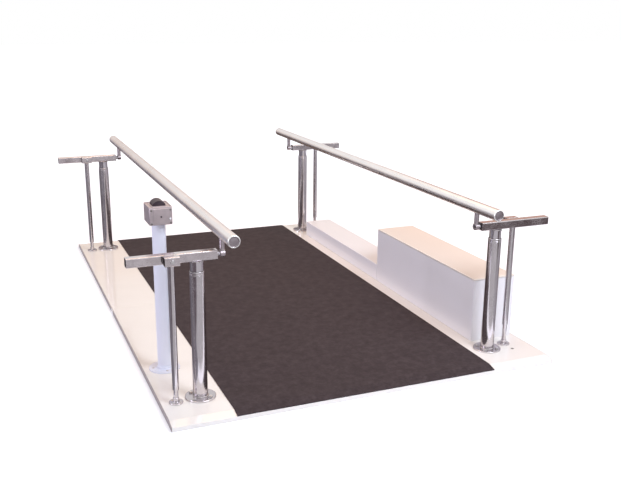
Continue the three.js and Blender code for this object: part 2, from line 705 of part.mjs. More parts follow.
function housingShell() {
  const shape = roundedPath(new THREE.Shape(), housing.width, housing.length, housing.corner);
  const inner = new THREE.Path();
  const [width, length] = [housing.width - 2 * housing.wall, housing.length - 2 * housing.wall];
  shape.holes.push(roundedPath(inner, width, length, housing.corner - housing.wall));
  const walls = extrude(shape, housing.height).translate(housingX, housingY, coverBottom);
  const notch = block([ductInside - duct.notchWidth, ductInside],
    [housingRear - housing.wall - overrun, housingRear + overrun],
    [coverBottom - overrun, coverBottom + duct.notch]);
  const socket = inletBlock(inlet.bodyWidth + 2 * slip, inlet.bodyTall + 2 * slip,
    -housing.wall - seat - overrun, overrun);
  return cut(walls, [notch, socket.translate(...inletPlace)]);
}

function powerInlet() {
  const plate = inletBlock(inlet.width, inlet.tall, 0, inlet.plate);
  const body = inletBlock(inlet.bodyWidth, inlet.bodyTall, -inlet.bodyDepth, inlet.plate);
  const recess = inletBlock(inlet.pinWidth, inlet.pinTall, inlet.plate - inlet.pinDepth,
    inlet.plate + overrun);
  return cut(join(plate, [body]), [recess]);
}

function ductCover() {
  // A folded cover: rounded along its two top edges, closed at the rear, open below and at the housing.
  const [front, rear] = [housingRear + seat, ductRear];
  const [x, top] = [duct.width / 2, duct.height];
  const shape = new THREE.Shape();
  shape.moveTo(0, -x);
  shape.lineTo(top - duct.corner, -x);
  shape.absarc(top - duct.corner, -x + duct.corner, duct.corner, -Math.PI / 2, 0);
  shape.lineTo(top, x - duct.corner);
  shape.absarc(top - duct.corner, x - duct.corner, duct.corner, 0, Math.PI / 2);
  shape.lineTo(0, x);
  const whole = alongY(extrude(shape, rear - front));
  whole.translate(housingLeft + x, front, coverBottom);
  const inside = block([housingLeft + duct.wall, ductInside], [front - overrun, rear - duct.wall],
    [coverBottom - overrun, coverBottom + duct.height - duct.wall]);
  return cut(whole, [inside]);
}

piece(bars, 'motor_housing', housingShell(), 'enamel');
const lidPlate = roundedBlock(housing.width, housing.length, lid.thickness, housing.corner);
piece(bars, 'housing_lid', lidPlate, 'enamel').position.set(housingX, housingY, shellTop + seat);
piece(bars, 'power_inlet', powerInlet(), 'black').position.set(...inletPlace);
piece(bars, 'duct_cover', ductCover(), 'enamel');

// Hydraulic power unit

const unitBottom = deckTop + seat;

function pumpMotor() {
  const radius = pumpX - unitLeft - motor.toWall;
  const neck = radius - motor.step;
  const start = housingFront + motor.fromFront;
  const end = start + motor.length;
  const whole = alongY(turned([
    [0, start], [neck, start], [neck, start + motor.fan], [radius, start + motor.fan],
    [radius, end - motor.front], [neck, end - motor.front], [neck, end], [0, end],
  ], sides.large)).translate(pumpX, 0, unitBottom + motor.axis);
  const middle = (start + end) / 2;
  const footBlock = block([pumpX - neck, pumpX + neck],
    [middle - motor.footLength / 2, middle + motor.footLength / 2],
    [unitBottom, unitBottom + motor.axis]);
  return join(whole, [footBlock]);
}

function pumpBlock() {
  return block([pumpX - pumpHalf, pumpX + pumpHalf], [pumpFront, pumpFront + pump.length],
    [unitBottom, unitBottom + pump.height]);
}

function oilTank() {
  const start = pumpFront + pump.length + seat;
  const width = 2 * (pumpX - unitLeft - tank.toWall);
  const shape = roundedPath(new THREE.Shape(), tank.height, width, tank.corner);
  const body = alongY(extrude(shape, tank.length)).translate(pumpX, start, unitBottom + tank.height / 2);
  const top = unitBottom + tank.height;
  const cap = drum(tank.cap, top - overrun, top + tank.capHeight, sides.small);
  return join(body, [cap.translate(pumpX, start + tank.length / 2, 0)]);
}

function flowDivider() {
  // The block that shares the oil between the columns, with the four pipes brazed into it.
  const body = block([dividerLeft, dividerLeft + divider.width],
    [dividerY - divider.length / 2, dividerY + divider.length / 2],
    [unitBottom, unitBottom + divider.height]);
  return join(body, routes.map((route) => mitredPipe(route, pipe.radius, sides.pipe)));
}

piece(bars, 'pump_motor', pumpMotor(), 'motor');
piece(bars, 'pump_block', pumpBlock(), 'cast');
piece(bars, 'oil_tank', oilTank(), 'tank');
piece(bars, 'flow_divider_and_pipes', flowDivider(), 'zinc');

export default bars;
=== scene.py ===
# Powered-height walking parallel bars on a low platform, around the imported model.
# Shapes are worked out in millimetres in the model's frame, and metre() turns them to metres.

import math
from types import SimpleNamespace as Sizes

import bpy
import numpy as np
from mathutils import Matrix, Vector


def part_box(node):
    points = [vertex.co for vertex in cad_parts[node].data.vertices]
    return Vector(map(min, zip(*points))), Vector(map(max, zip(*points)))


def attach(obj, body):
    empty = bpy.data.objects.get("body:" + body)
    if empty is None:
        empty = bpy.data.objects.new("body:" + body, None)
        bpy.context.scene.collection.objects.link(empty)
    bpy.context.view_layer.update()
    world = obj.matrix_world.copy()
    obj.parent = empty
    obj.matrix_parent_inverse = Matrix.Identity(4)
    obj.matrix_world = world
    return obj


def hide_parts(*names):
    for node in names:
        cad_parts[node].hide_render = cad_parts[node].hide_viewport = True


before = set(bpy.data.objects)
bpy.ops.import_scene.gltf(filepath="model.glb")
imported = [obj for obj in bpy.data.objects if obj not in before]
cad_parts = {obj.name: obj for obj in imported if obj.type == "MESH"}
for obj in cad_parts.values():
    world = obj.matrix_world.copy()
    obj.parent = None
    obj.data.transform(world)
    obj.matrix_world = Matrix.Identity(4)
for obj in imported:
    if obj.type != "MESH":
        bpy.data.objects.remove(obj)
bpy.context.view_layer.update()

# Camera
# It stands where the photograph's camera stood, found by fitting the platform's edges: before the near
# end of the walkway, to its left, at chest height. Yaw turns it towards +X, pitch tips it down.

photo_width, photo_focal = 621, 819.5
camera_stands = Vector((-1.2167, -3.4971, 1.2952))
yaw, pitch, roll = [math.radians(angle) for angle in (22.475, 16.172, 0.526)]
ahead = Vector((math.sin(yaw) * math.cos(pitch), math.cos(yaw) * math.cos(pitch), -math.sin(pitch)))
level = Vector((math.cos(yaw), -math.sin(yaw), 0))
upright = level.cross(ahead)
aside = level * math.cos(roll) + upright * math.sin(roll)
above = upright * math.cos(roll) - level * math.sin(roll)


def placed(name, data):
    """A new object in the scene, made of its data."""
    made = bpy.data.objects.new(name, data)
    bpy.context.scene.collection.objects.link(made)
    return made


camera = placed("camera", bpy.data.cameras.new("camera"))
camera.data.sensor_width = 36
camera.data.lens = camera.data.sensor_width * photo_focal / photo_width
camera.data.clip_end = 100
camera.matrix_world = Matrix.Translation(camera_stands) @ Matrix((aside, above, -ahead)).transposed().to_4x4()
bpy.context.scene.camera = camera

# Platform boards
# Two 24 mm chipboards with white high-pressure laminate on top, butted together at the middle joint.
# A glued grey edge band closes their long sides.


def metre(points):
    """The same points in metres."""
    return np.asarray(points, float) * 0.001


def box_of(node):
    """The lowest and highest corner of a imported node, in millimetres."""
    return [np.array(corner) * 1000 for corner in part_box(node)]


def linear(code):
    """The linear colour of an sRGB hex value: c / 12.92 if low, else ((c + 0.055) / 1.055) to the 2.4."""
    channels = np.array([int(code[i:i + 2], 16) for i in (1, 3, 5)]) / 255
    curve = np.where(channels <= 0.04045, channels / 12.92, ((channels + 0.055) / 1.055) ** 2.4)
    return (*curve.tolist(), 1.0)


def per(size):
    """The texture scale at which a pattern repeats about every so many millimetres."""
    return 1000 / size


def fill(node, inputs):
    """Sets each of these inputs of a node to a value, or links it to a socket."""
    for key, value in inputs.items():
        if isinstance(value, bpy.types.NodeSocket):
            node.id_data.links.new(value, node.inputs[key])
        else:
            node.inputs[key].default_value = value


def add(tree, kind, inputs=None, **settings):
    """Adds a shader node of a kind, with its settings and inputs. Returns its outputs."""
    node = tree.nodes.new("ShaderNode" + kind)
    for key, value in settings.items():
        setattr(node, key, value)
    fill(node, inputs or {})
    return node.outputs


def finish(name, inputs):
    """A new material with some of its shader's inputs filled. Returns it, its tree and the shader."""
    made = bpy.data.materials.new(name)
    made.use_nodes = True
    shader = made.node_tree.nodes["Principled BSDF"]
    fill(shader, inputs)
    return made, made.node_tree, shader


def clouded(name, patch, tones, gloss, inputs, size=0, strength=0, depth=0, stretch=(1, 1, 1)):
    """A finish whose tone and roughness wander together, by a noise over patches of so many millimetres. A
    size adds finer relief: its grain and depth are in millimetres, and stretch draws it out."""
    made, tree, shader = finish(name, inputs)
    place = add(tree, "TexCoord")["Object"]
    cloud = add(tree, "TexNoise", {"Vector": place, "Scale": per(patch), "Detail": 5.0})["Fac"]
    tone = {0: cloud, 6: linear(tones[0]), 7: linear(tones[1])}
    spread = {"Value": cloud, "From Min": 0.3, "From Max": 0.7, "To Min": gloss[0], "To Max": gloss[1]}
    fill(shader, {"Base Color": add(tree, "Mix", tone, data_type="RGBA")[2],
                  "Roughness": add(tree, "MapRange", spread)["Result"]})
    if size:
        drawn = add(tree, "Mapping", {"Vector": place, "Scale": stretch})["Vector"]
        fine = add(tree, "TexNoise", {"Vector": drawn, "Scale": per(size), "Detail": 3.0})["Fac"]
        relief = {"Height": fine, "Strength": strength, "Distance": depth / 1000}
        fill(shader, {"Normal": add(tree, "Bump", relief)["Normal"]})
    return made


def rounded(corners, steps=5, hold=0.3):
    """An outline through corners (a, b, radius). A radius makes an arc that touches both sides, with one more
    point just outside each of its ends, so that the sides beside it shade flat."""
    corners = np.asarray(corners, float)
    outline = []
    for i, (a, b, radius) in enumerate(corners):
        here = np.array([a, b])
        if radius == 0:
            outline.append(here[None])
            continue
        back = corners[i - 1, :2] - here
        on = corners[(i + 1) % len(corners), :2] - here
        back, on = back / np.linalg.norm(back), on / np.linalg.norm(on)
        half = math.acos(np.clip(back @ on, -1, 1)) / 2
        middle = here + (back + on) / np.linalg.norm(back + on) * radius / math.sin(half)
        reach = radius / math.tan(half)
        first, last = here + back * reach - middle, here + on * reach - middle
        start = math.atan2(first[1], first[0])
        turn = (math.atan2(last[1], last[0]) - start + math.pi) % (2 * math.pi) - math.pi
        angle = start + turn * np.linspace(0, 1, steps + 1)
        arc = middle + radius * np.stack([np.cos(angle), np.sin(angle)], 1)
        outline += [(here + back * (reach + hold))[None], arc, (here + on * (reach + hold))[None]]
    return np.concatenate(outline)


def quads(rows, columns, wrap=False):
    """The four-sided faces between neighbouring rows of points, where each row is closed on itself."""
    i = np.arange(rows if wrap else rows - 1)[:, None]
    j = np.arange(columns)[None]
    following, beside = (i + 1) % rows * columns, (j + 1) % columns
    corners = [i * columns + j, i * columns + beside, following + beside, following + j]
    return np.stack(corners, -1).reshape(-1, 4)


def lofted(rings, wrap=False):
    """Skins closed rings of equally many points, anticlockwise as seen from where they lead. The first and
    last are closed by a flat face, or joined to each other if they wrap."""
    rings = np.asarray(rings, float)
    rows, columns = rings.shape[:2]
    faces = [quads(rows, columns, wrap)]
    if not wrap:
        cap = np.arange(columns)
        faces += [cap[::-1][None], (cap + (rows - 1) * columns)[None]]
    return rings.reshape(-1, 3), faces


def plan(half_x, half_y, corner, height, middle=(0, 0), steps=5):
    """A rounded rectangle at a height, as one ring of points, anticlockwise from above."""
    corners = [(-half_x, -half_y), (half_x, -half_y), (half_x, half_y), (-half_x, half_y)]
    flat = rounded([(*place, corner) for place in corners], steps, min(0.3, corner)) + np.asarray(middle)
    return np.column_stack([flat, np.full(len(flat), height)])


def stacked(low, high, corner, levels, steps=5, wrap=False, least=0.05):
    """Rounded rectangles of a box, skinned from level to level: (how far drawn in, height). Their corner's
    radius falls by what they are drawn in, down to the least."""
    middle, half = (low + high)[:2] / 2, (high - low)[:2] / 2
    rings = [plan(*(half - drawn), max(corner - drawn, least), z, middle, steps) for drawn, z in levels]
    return lofted(rings, wrap)


def soft_box(low, high, corner, edge, steps=5):
    """A box with one radius on its upright edges and another on the rest: at angle t up an edge, the plan is
    drawn in by edge (1 - sin t) at height edge (1 - cos t)."""
    low, high = np.asarray(low, float), np.asarray(high, float)
    angle = np.linspace(0, np.pi / 2, steps + 1)
    inset = np.concatenate([[edge + 0.3], edge * (1 - np.sin(angle)), [0]])
    rise = np.concatenate([[0], edge * (1 - np.cos(angle)), [edge + 0.3]])
    levels = [*zip(inset, low[2] + rise), *zip(inset[::-1], high[2] - rise[::-1])]
    return stacked(low, high, corner, levels, steps)


def skin(name, points, faces, material):
    """A new object of points in metres and the faces between them, all of one material."""
    mesh = bpy.data.meshes.new(name)
    mesh.from_pydata(points, [], faces)
    mesh.materials.append(material)
    return placed(name, mesh)


def piece(name, shapes, material, slot, *nodes, body="base"):
    """One object of shapes in millimetres. It sits at the origin, rides a body and stands for any nodes."""
    points, faces, count = [], [], 0
    for shape_points, shape_faces in shapes:
        points.append(shape_points)
        faces += [row for part in shape_faces for row in (part + count).tolist()]
        count += len(shape_points)
    made = skin(name, metre(np.concatenate(points)), faces, material)
    made.data.polygons.foreach_set("use_smooth", np.ones(len(faces), bool))
    made.data.set_sharp_from_angle(angle=math.radians(40))
    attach(made, body)
    if nodes:
        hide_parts(*nodes)
    return made


# High-pressure laminate: a clean white face with a hard, faintly waved gloss.
laminate = clouded("high_pressure_laminate", 120, ("#efeae3", "#f6f2ec"), (0.12, 0.18),
                   {"IOR": 1.5, "Coat Weight": 0.35, "Coat Roughness": 0.05},
                   size=60, strength=0.08, depth=0.3)

# ABS edge band: grey, with a fine satin grain rolled along its length.
edge_band = clouded("abs_edge_band", 14, ("#7f7575", "#918686"), (0.38, 0.52), {"IOR": 1.53},
                    size=3, stretch=(1, 0.05, 1), strength=0.3, depth=0.05)

band = 1.2


def both_bands(low, high):
    """Each side's name, and where the band on it starts and ends along X."""
    return ("left", low[0], low[0] + band), ("right", high[0] - band, high[0])


for end in ("front", "rear"):
    low, high = box_of(f"{end}_deck")
    slab = soft_box(low + (band, 0, 0), high - (band, 0, 0), corner=0.8, edge=0.6)
    piece(f"{end}_board", [slab], laminate, "white_laminate", f"{end}_deck")
    for side, x0, x1 in both_bands(low, high):
        strip = soft_box((x0, *low[1:]), (x1, *high[1:]), corner=0.5, edge=0.5)
        piece(f"edge_band_{end}_{side}", [strip], edge_band, "white_laminate")

# Toe strips
# Bevelled strips glued to the boards' ends, so that feet and wheels pass over them. They have the boards'
# white face, and their sawn ends carry the same grey band.


def bar_along_x(outline, x0, x1, edge=0.3):
    """An outline of (y, z) points carried along X, drawn in a little at both ends so that no rim is sharp."""
    outline = np.asarray(outline, float)
    middle = outline.mean(0)
    span = np.ptp(outline, 0).max() / 2
    share = 1 - edge / span
    stations = [(x0, share), (x0 + edge, 1), (x0 + 3 * edge, 1)]
    stations += [(x1 - 3 * edge, 1), (x1 - edge, 1), (x1, share)]
    rings = [np.column_stack([np.full(len(outline), x), middle + (outline - middle) * k])
             for x, k in stations]
    return lofted(rings)


bevel_height = 15
for end, outward in (("front", -1), ("rear", 1)):
    low, high = box_of(f"{end}_toe_strip")
    outer, inner = (low[1], high[1]) if outward < 0 else (high[1], low[1])
    corners = [(outer, low[2], 0.5), (inner, low[2], 0.5), (inner, high[2], 0.6), (outer, bevel_height, 2)]
    outline = rounded(corners if outward < 0 else corners[::-1])
    strip = bar_along_x(outline, low[0] + band, high[0] - band)
    piece(f"{end}_toe_bevel", [strip], laminate, "white_laminate", f"{end}_toe_strip")
    for side, x0, x1 in both_bands(low, high):
        cap = bar_along_x(outline, x0, x1, edge=0.1)
        piece(f"toe_band_{end}_{side}", [cap], edge_band, "white_laminate")

# Walkway mat
# A 3 mm rubber runner, rolled with a fine pebble grain, glued to the boards and bent down over both
# toe strips. Its cut edges are square, and the charcoal rubber has a dry brown-grey bloom.

rubber, tree, shader = finish("pebbled_rubber", {"IOR": 1.52, "Specular IOR Level": 0.05})
place = add(tree, "TexCoord")["Object"]
pebble_size, bloom_size, speck_size = 5, 34, 12
pebble = {"Vector": place, "Scale": per(pebble_size)}
pebble = add(tree, "TexVoronoi", pebble, feature="SMOOTH_F1")["Distance"]
bloom = {"Vector": place, "Scale": per(bloom_size), "Detail": 4.0, "Roughness": 0.6}
bloom = add(tree, "TexNoise", bloom)["Fac"]
speck = add(tree, "TexNoise", {"Vector": place, "Scale": per(speck_size), "Detail": 3.0})["Fac"]
worn = add(tree, "Math", {0: bloom, 1: speck}, operation="MULTIPLY")["Value"]
worn = add(tree, "MapRange", {"Value": worn, "From Min": 0.12, "From Max": 0.4})["Result"]
tone = {0: worn, 6: linear("#3d3537"), 7: linear("#4d4446")}
dullness = {"Value": speck, "From Min": 0.3, "From Max": 0.7, "To Min": 0.62, "To Max": 0.8}
relief = {"Strength": 0.6, "Distance": 0.0006, "Height": pebble}
fill(shader, {"Base Color": add(tree, "Mix", tone, data_type="RGBA")[2],
              "Roughness": add(tree, "MapRange", dullness)["Result"],
              "Normal": add(tree, "Bump", relief, invert=True)["Normal"]})

low, high = box_of("walkway_mat")
crease = box_of("front_toe_strip")[1][1]
mat_thickness, fold = 3, 12
sheet_top, toe_top = high[2], low[2] + mat_thickness
ends = [(low[1], toe_top, 0.4), (high[1], toe_top, 0.4)]
top_line = [ends[0], (crease, sheet_top, fold), (-crease, sheet_top, fold), ends[1]]
under_line = [(a, b - mat_thickness, radius) for a, b, radius in top_line]
sheet = bar_along_x(rounded(under_line + top_line[::-1]), low[0], high[0], 0.05)
piece("rubber_mat", [sheet], rubber, "rubber_mat", "walkway_mat")

# Deck screw
# A countersunk zinc-plated wood screw that holds the front board down beside the right column.

bare_metal = {"Metallic": 1.0}
fastener_zinc = clouded("zinc_plated_steel", 7, ("#b0adb3", "#d6d3d0"), (0.2, 0.42), bare_metal)


def angles(count):
    """So many angles, evenly spaced all round."""
    return np.arange(count) * 2 * np.pi / count


def polar(radius, angle, z):
    """The points (radius cos angle, radius sin angle, z) of arrays that fit each other."""
    return np.stack(np.broadcast_arrays(radius * np.cos(angle), radius * np.sin(angle), z), -1)


def cross_head(radius, height, slot, count=48, rows=14):
    """A domed screw head with a cross cut in it. The dome falls from its height to two fifths of that at the
    rim, as the square of the radius, and drops by 0.45 of its height inside either bar of the cross."""
    r, angle = np.linspace(0.04, 1, rows)[:, None] * radius, angles(count)
    x, y = abs(r * np.cos(angle)), abs(r * np.sin(angle))
    inside = (np.minimum(x, y) < slot / 2) & (np.maximum(x, y) < 0.62 * radius)
    z = height * (1 - 0.6 * (r / radius) ** 2) - np.where(inside, 0.45 * height, 0)
    return lofted([polar(radius, angle, 0), *polar(r, angle, z)[::-1]])


def moved(shape, x=0.0, y=0.0, z=0.0):
    """The same shape, shifted."""
    return shape[0] + np.array([x, y, z]), shape[1]


# Bare zinc that traffic has dulled.
dull_zinc = clouded("dulled_zinc", 4, ("#77726f", "#918b88"), (0.5, 0.65), {"Metallic": 0.85})

deck_top = box_of("front_deck")[1][2]
screw_place = (675.7, -1022.5)
deck_screw = moved(cross_head(radius=6.2, height=0.9, slot=1.6), *screw_place, deck_top)
piece("deck_screw", [deck_screw], dull_zinc, "zinc_steel")

# Joint plates
# A small white-painted plate on either long side bridges the two boards, sunk in the edge band and held
# by two zinc-plated screws.

plate_paint = clouded("white_plate_paint", 9, ("#f1eeec", "#faf8f6"), (0.3, 0.4), {"IOR": 1.5})

plate_half, plate_thickness, sunk = np.array([9.5, 17]), 1.6, 0.9
plate = soft_box((*-plate_half, 0), (*plate_half, plate_thickness), 2, 0.4, 3)
head = cross_head(radius=2.6, height=0.7, slot=0.9, count=32, rows=10)
heads = [moved(head, 0, y, plate_thickness) for y in (-9, 9)]
low, high = box_of("front_deck")
for side, x, outward in (("left", low[0], -1), ("right", high[0], 1)):
    stand = np.array([[0, 0, -outward], [0, 1, 0], [outward, 0, 0]])
    place = (x - outward * sunk, high[1], (low[2] + high[2]) / 2)
    for name, shapes, paint in (("plate", [plate], plate_paint), ("screws", heads, fastener_zinc)):
        put = [(points @ stand + place, faces) for points, faces in shapes]
        piece(f"joint_{name}_{side}", put, paint, "zinc_steel")

# Columns
# Each is a 50 mm stainless tube, polished to a mirror, welded through a turned flange. Four zinc-plated
# hexagon bolts with washers hold the flange to the board.

# Mirror-polished stainless steel: a slightly soft mirror, darker edge on, with faint lines along the tube.
steel = {"Metallic": 1.0, "Specular Tint": linear("#8a8084")}
mirror_steel = clouded("mirror_polished_stainless", 45, ("#cdc8cb", "#dcd7da"), (0.13, 0.2), steel,
                       size=2, stretch=(1, 1, 0.02), strength=0.12, depth=0.02)

# A weld bead that was brushed but not polished.
weld_metal = clouded("brushed_weld", 2, ("#8f8886", "#c4bfbf"), (0.25, 0.5), bare_metal)


def weld_ring(radius, height, size, ripples=40, rows=240, swell=0.1):
    """A bead round a tube: a torus whose thickness swells by a share of its size, so many times round."""
    around, across = angles(rows)[:, None], angles(10)
    thick = size * (1 + swell * np.cos(ripples * around))
    rings = polar(radius + thick * np.cos(across), around, height + thick * np.sin(across))
    return lofted(rings[:, ::-1], wrap=True)


def hexagon_head(radius, height, count=48):
    """A hexagon bolt head: the side lies at inradius / cos(angle from the nearest flat's middle), and the top
    is chamfered at 30 degrees down to its corners."""
    angle, slope = angles(count), math.pi / 6
    flat = radius * math.cos(slope)
    side, top = flat / np.cos((angle + slope) % (math.pi / 3) - slope), 0.95 * flat
    levels = [(side, 0), (side, height - (side - top) * math.tan(slope)), (top, height), (top - 0.3, height)]
    return lofted([polar(out, angle, z) for out, z in levels])


def turned(corners, count=128, steps=4, hold=0.1):
    """A rounded profile carried round the Z axis: (r, z) at angle t lies at (r cos t, r sin t, z). It starts
    and ends on the axis or is closed on itself, and runs anticlockwise with r to the right."""
    outline = rounded(corners, steps, hold)
    poles = outline[0, 0] < 1e-9
    body = outline[1:-1] if poles else outline
    points = polar(body[:, :1], angles(count), body[:, 1:]).reshape(-1, 3)
    faces = [quads(len(body), count, not poles)]
    if poles:
        j = np.arange(count)
        beside, last = (j + 1) % count, (len(body) - 1) * count
        low, high = np.full(count, len(points)), np.full(count, len(points) + 1)
        faces += [np.stack([low, beside, j], 1), np.stack([high, last + j, last + beside], 1)]
        points = np.concatenate([points, [[0, 0, outline[0, 1]], [0, 0, outline[-1, 1]]]])
    return points, faces


def bolt(size):
    """A washer with softened outer rims, and a hexagon head on it."""
    ring = [(3, 0, 0), (size.washer, 0, 0.3), (size.washer, size.thickness, 0.4), (3, size.thickness, 0)]
    head = hexagon_head(size.radius, size.height)
    return [turned(ring, 48, 3, 0.3), moved(head, 0, 0, size.thickness)]


class Tower:
    """Where a column stands and which way its arm points. A left tower is a right one turned half round."""

    def __init__(self, name):
        self.name = name
        self.middle = sum(box_of(f"column_{name}"))[:2] / 2
        self.turn = -1 if name.endswith("left") else 1
        side = "left" if self.turn < 0 else "right"
        self.lift, self.rail = f"{side}_lift", f"{side}_rail"

    def box(self, node):
        """The box of the node of a kind that this tower has."""
        return box_of(f"{node}_{self.name}")

    def near(self, low, high):
        """How far along X a box's nearer end lies from this tower's axis."""
        return min(abs(low[0] - self.middle[0]), abs(high[0] - self.middle[0]))

    def piece(self, name, shapes, material, slot, *nodes, body="base"):
        """A piece of shapes drawn round a right tower's axis, put where this tower stands."""
        put = [(points * (self.turn, self.turn, 1) + (*self.middle, 0), faces) for points, faces in shapes]
        replaced = [f"{node}_{self.name}" for node in nodes]
        piece(f"{name}_{self.name}", put, material, slot, *replaced, body=body)


towers = [Tower(name) for name in ("front_left", "rear_left", "front_right", "rear_right")]


def quarter_places(radius, first=math.pi / 4):
    """Four places round a circle, the first at an angle."""
    return polar(radius, first + angles(4), 0)[:, :2]


hairline = 0.3
seat = deck_top + hairline
flange = Sizes(radius=53, thickness=6, edge=1.5, bolt_circle=39)
flange_bolt = Sizes(radius=7, height=4.7, washer=7.6, thickness=0.8)
barrel_wall = 2.5
for tower in towers:
    low, high = tower.box("column")
    gland_low, gland_high = tower.box("gland")
    radius = (gland_high - gland_low)[0] / 2
    inside = radius - barrel_wall
    top, mouth = seat + flange.thickness, gland_low[2] - hairline
    tube = turned([
        (inside, low[2], 0), (radius, low[2], 0.5), (radius, seat, 0), (flange.radius, seat, 0.5),
        (flange.radius, top, flange.edge), (radius, top, 0), (radius, mouth, 0.6), (inside, mouth, 0.3),
    ], steps=5, hold=0.3)
    tower.piece("column_tube", [tube], mirror_steel, "polished_steel", "column")
    bead = weld_ring(radius + 0.4, top + 0.4, size=2.4)
    tower.piece("flange_weld", [bead], weld_metal, "polished_steel")
    places = quarter_places(flange.bolt_circle)
    bolts = [moved(shape, x, y, top) for x, y in places for shape in bolt(flange_bolt)]
    tower.piece("flange_bolts", bolts, fastener_zinc, "zinc_steel")

# Glands and lift rams
# A turned ring screws into each column's top and holds a black lip seal against the ram. The ram is a
# hard-chromed 44 mm tube that ends in a collar, welded under the arm.

# Hard chrome, ground and polished: brighter than the columns, with no lines.
hard_chrome = clouded("hard_chrome", 30, ("#d2ced2", "#e0dce0"), (0.04, 0.1), steel)

# Nitrile rubber, moulded and oiled.
seal_rubber = clouded("nitrile_rubber", 4, ("#1c1a1b", "#2b2829"), (0.3, 0.5), {"IOR": 1.52})

ram = Sizes(radius=22, lip=1.5, lip_height=6)
groove = Sizes(above=3.5, depth=0.8)
for tower in towers:
    low, high = tower.box("gland")
    radius = (high - low)[0] / 2
    bore, recess = ram.radius + 0.5, ram.radius + 1.3
    cut = low[2] + groove.above
    ring = turned([
        (bore, low[2], 0), (radius, low[2], 0.4), (radius, cut, 0.4),
        (radius - groove.depth, cut + 0.8, 0.2), (radius, cut + 1.6, 0.4), (radius, high[2], 1.8),
        (recess, high[2], 0.3), (recess, high[2] - 3, 0), (bore, high[2] - 3, 0),
    ])
    tower.piece("gland_ring", [ring], mirror_steel, "polished_steel", "gland")
    near, far, under = ram.radius + 0.15, ram.radius + 1.2, high[2] - 2.5
    lip = [(near, under, 0), (far, under, 0), (far, high[2] + 0.2, 0.3), (near, high[2] + 0.9, 0.2)]
    tower.piece("ram_seal", [turned(lip, steps=3, hold=0.05)], seal_rubber, "black_plastic")
    low, high = tower.box("ram")
    collar, neck = ram.radius + ram.lip, high[2] - ram.lip_height
    tube = turned([
        (0, low[2], 0), (ram.radius, low[2], 1), (ram.radius, neck, 0.3), (collar, neck, 0.5),
        (collar, high[2], 0.4), (0, high[2], 0),
    ])
    tower.piece("ram_tube", [tube], hard_chrome, "polished_steel", "ram", body=tower.lift)
    bead = weld_ring(collar - 0.6, high[2] - 0.8, size=1.1)
    tower.piece("ram_weld", [bead], weld_metal, "polished_steel", body=tower.lift)

# Arms
# A 31 mm square stainless tube lies across each ram, open at its sawn outer end. A short piece of the
# same tube is welded to its side, and one hexagon bolt goes through that.

# Drawn and buffed stainless tube: duller than the columns, with fine lines along its length.
drawn_steel = clouded("buffed_stainless_tube", 38, ("#c6bec0", "#d6cfd1"), (0.12, 0.26), bare_metal,
                      size=1.6, stretch=(0.02, 1, 1), strength=0.2, depth=0.03)


def along_x(shape, *place):
    """A shape that stands on Z, laid along X and shifted: its own X becomes Y and its own Y becomes Z."""
    return moved((shape[0][:, [2, 0, 1]], shape[1]), *place)


def along_y(shape, *place):
    """A shape that stands on Z, laid along Y and shifted: its own X becomes Z and its own Y becomes X."""
    return moved((shape[0][:, [1, 2, 0]], shape[1]), *place)


def square_tube(length, size, wall, corner=3.0, burr=0.4):
    """A square tube along X from 0: rings of rounded squares run up the outside, over the softened rim and
    down the inside, and the last joins the first."""
    half, hollow = size / 2, size / 2 - wall
    outside = [(half - burr, burr / 2), (half, burr + 0.2), (half, burr + 1), (half, length - burr - 1),
               (half, length - burr - 0.2), (half - burr, length - burr / 2)]
    inside = [(hollow + burr, length - burr / 2), (hollow, length - burr - 0.2), (hollow, burr + 0.2),
              (hollow + burr, burr / 2)]
    rings = [plan(a, a, max(corner - (half - a), 0.6), z) for a, z in outside]
    rings += [plan(a, a, 0.8, z) for a, z in inside]
    return along_x(lofted(rings, wrap=True))


def weld_run(start, end, size, ripples=9, rows=40):
    """A bead between two points: its thickness goes as the square root of 1 - s to the 8th, for s from -1
    to 1, and swells by an eighth, so many times along."""
    start, end = np.asarray(start, float), np.asarray(end, float)
    share = np.linspace(0.004, 0.996, rows)[:, None]
    thick = size * (1 - abs(2 * share - 1) ** 8) ** 0.5 * (1 + 0.12 * np.cos(2 * np.pi * ripples * share))
    direction = (end - start) / np.linalg.norm(end - start)
    side = np.cross(direction, (0.3, 0.5, 0.81))
    side = side / np.linalg.norm(side)
    other = np.cross(direction, side)
    angle = angles(10)[None, :, None]
    spoke = np.cos(angle) * side + np.sin(angle) * other
    line = start + share * (end - start)
    return lofted(line[:, None] + thick[..., None] * spoke)


arm = Sizes(size=31, wall=2.5, reach=89, bracket=50, overlap=0.4)
bracket_bolt = Sizes(radius=6, height=3.6, washer=7.5, thickness=0.9)
for tower in towers:
    low, high = tower.box("arm")
    axis = (low[2] + high[2]) / 2
    side_y = arm.size - arm.overlap
    whole = square_tube((high - low)[0], arm.size, arm.wall)
    whole = moved(whole, -tower.near(low, high), 0, axis)
    short = square_tube(arm.bracket, arm.size, arm.wall)
    short = moved(short, arm.reach - arm.bracket / 2, side_y, axis)
    tower.piece("arm_tube", [whole], drawn_steel, "arm_steel", "arm", body=tower.lift)
    tower.piece("arm_bracket", [short], drawn_steel, "arm_steel", body=tower.lift)
    half_run, seam = arm.bracket / 2 - 3, arm.size / 2 - 0.2
    beads = [weld_run((arm.reach - half_run, seam, z), (arm.reach + half_run, seam, z), size=1.7)
             for z in (low[2] + 0.5, high[2] - 0.5)]
    tower.piece("bracket_weld", beads, weld_metal, "arm_steel", body=tower.lift)
    face = side_y + arm.size / 2
    shapes = [along_y(shape, arm.reach, face, axis) for shape in bolt(bracket_bolt)]
    tower.piece("bracket_bolt", shapes, fastener_zinc, "zinc_steel", body=tower.lift)

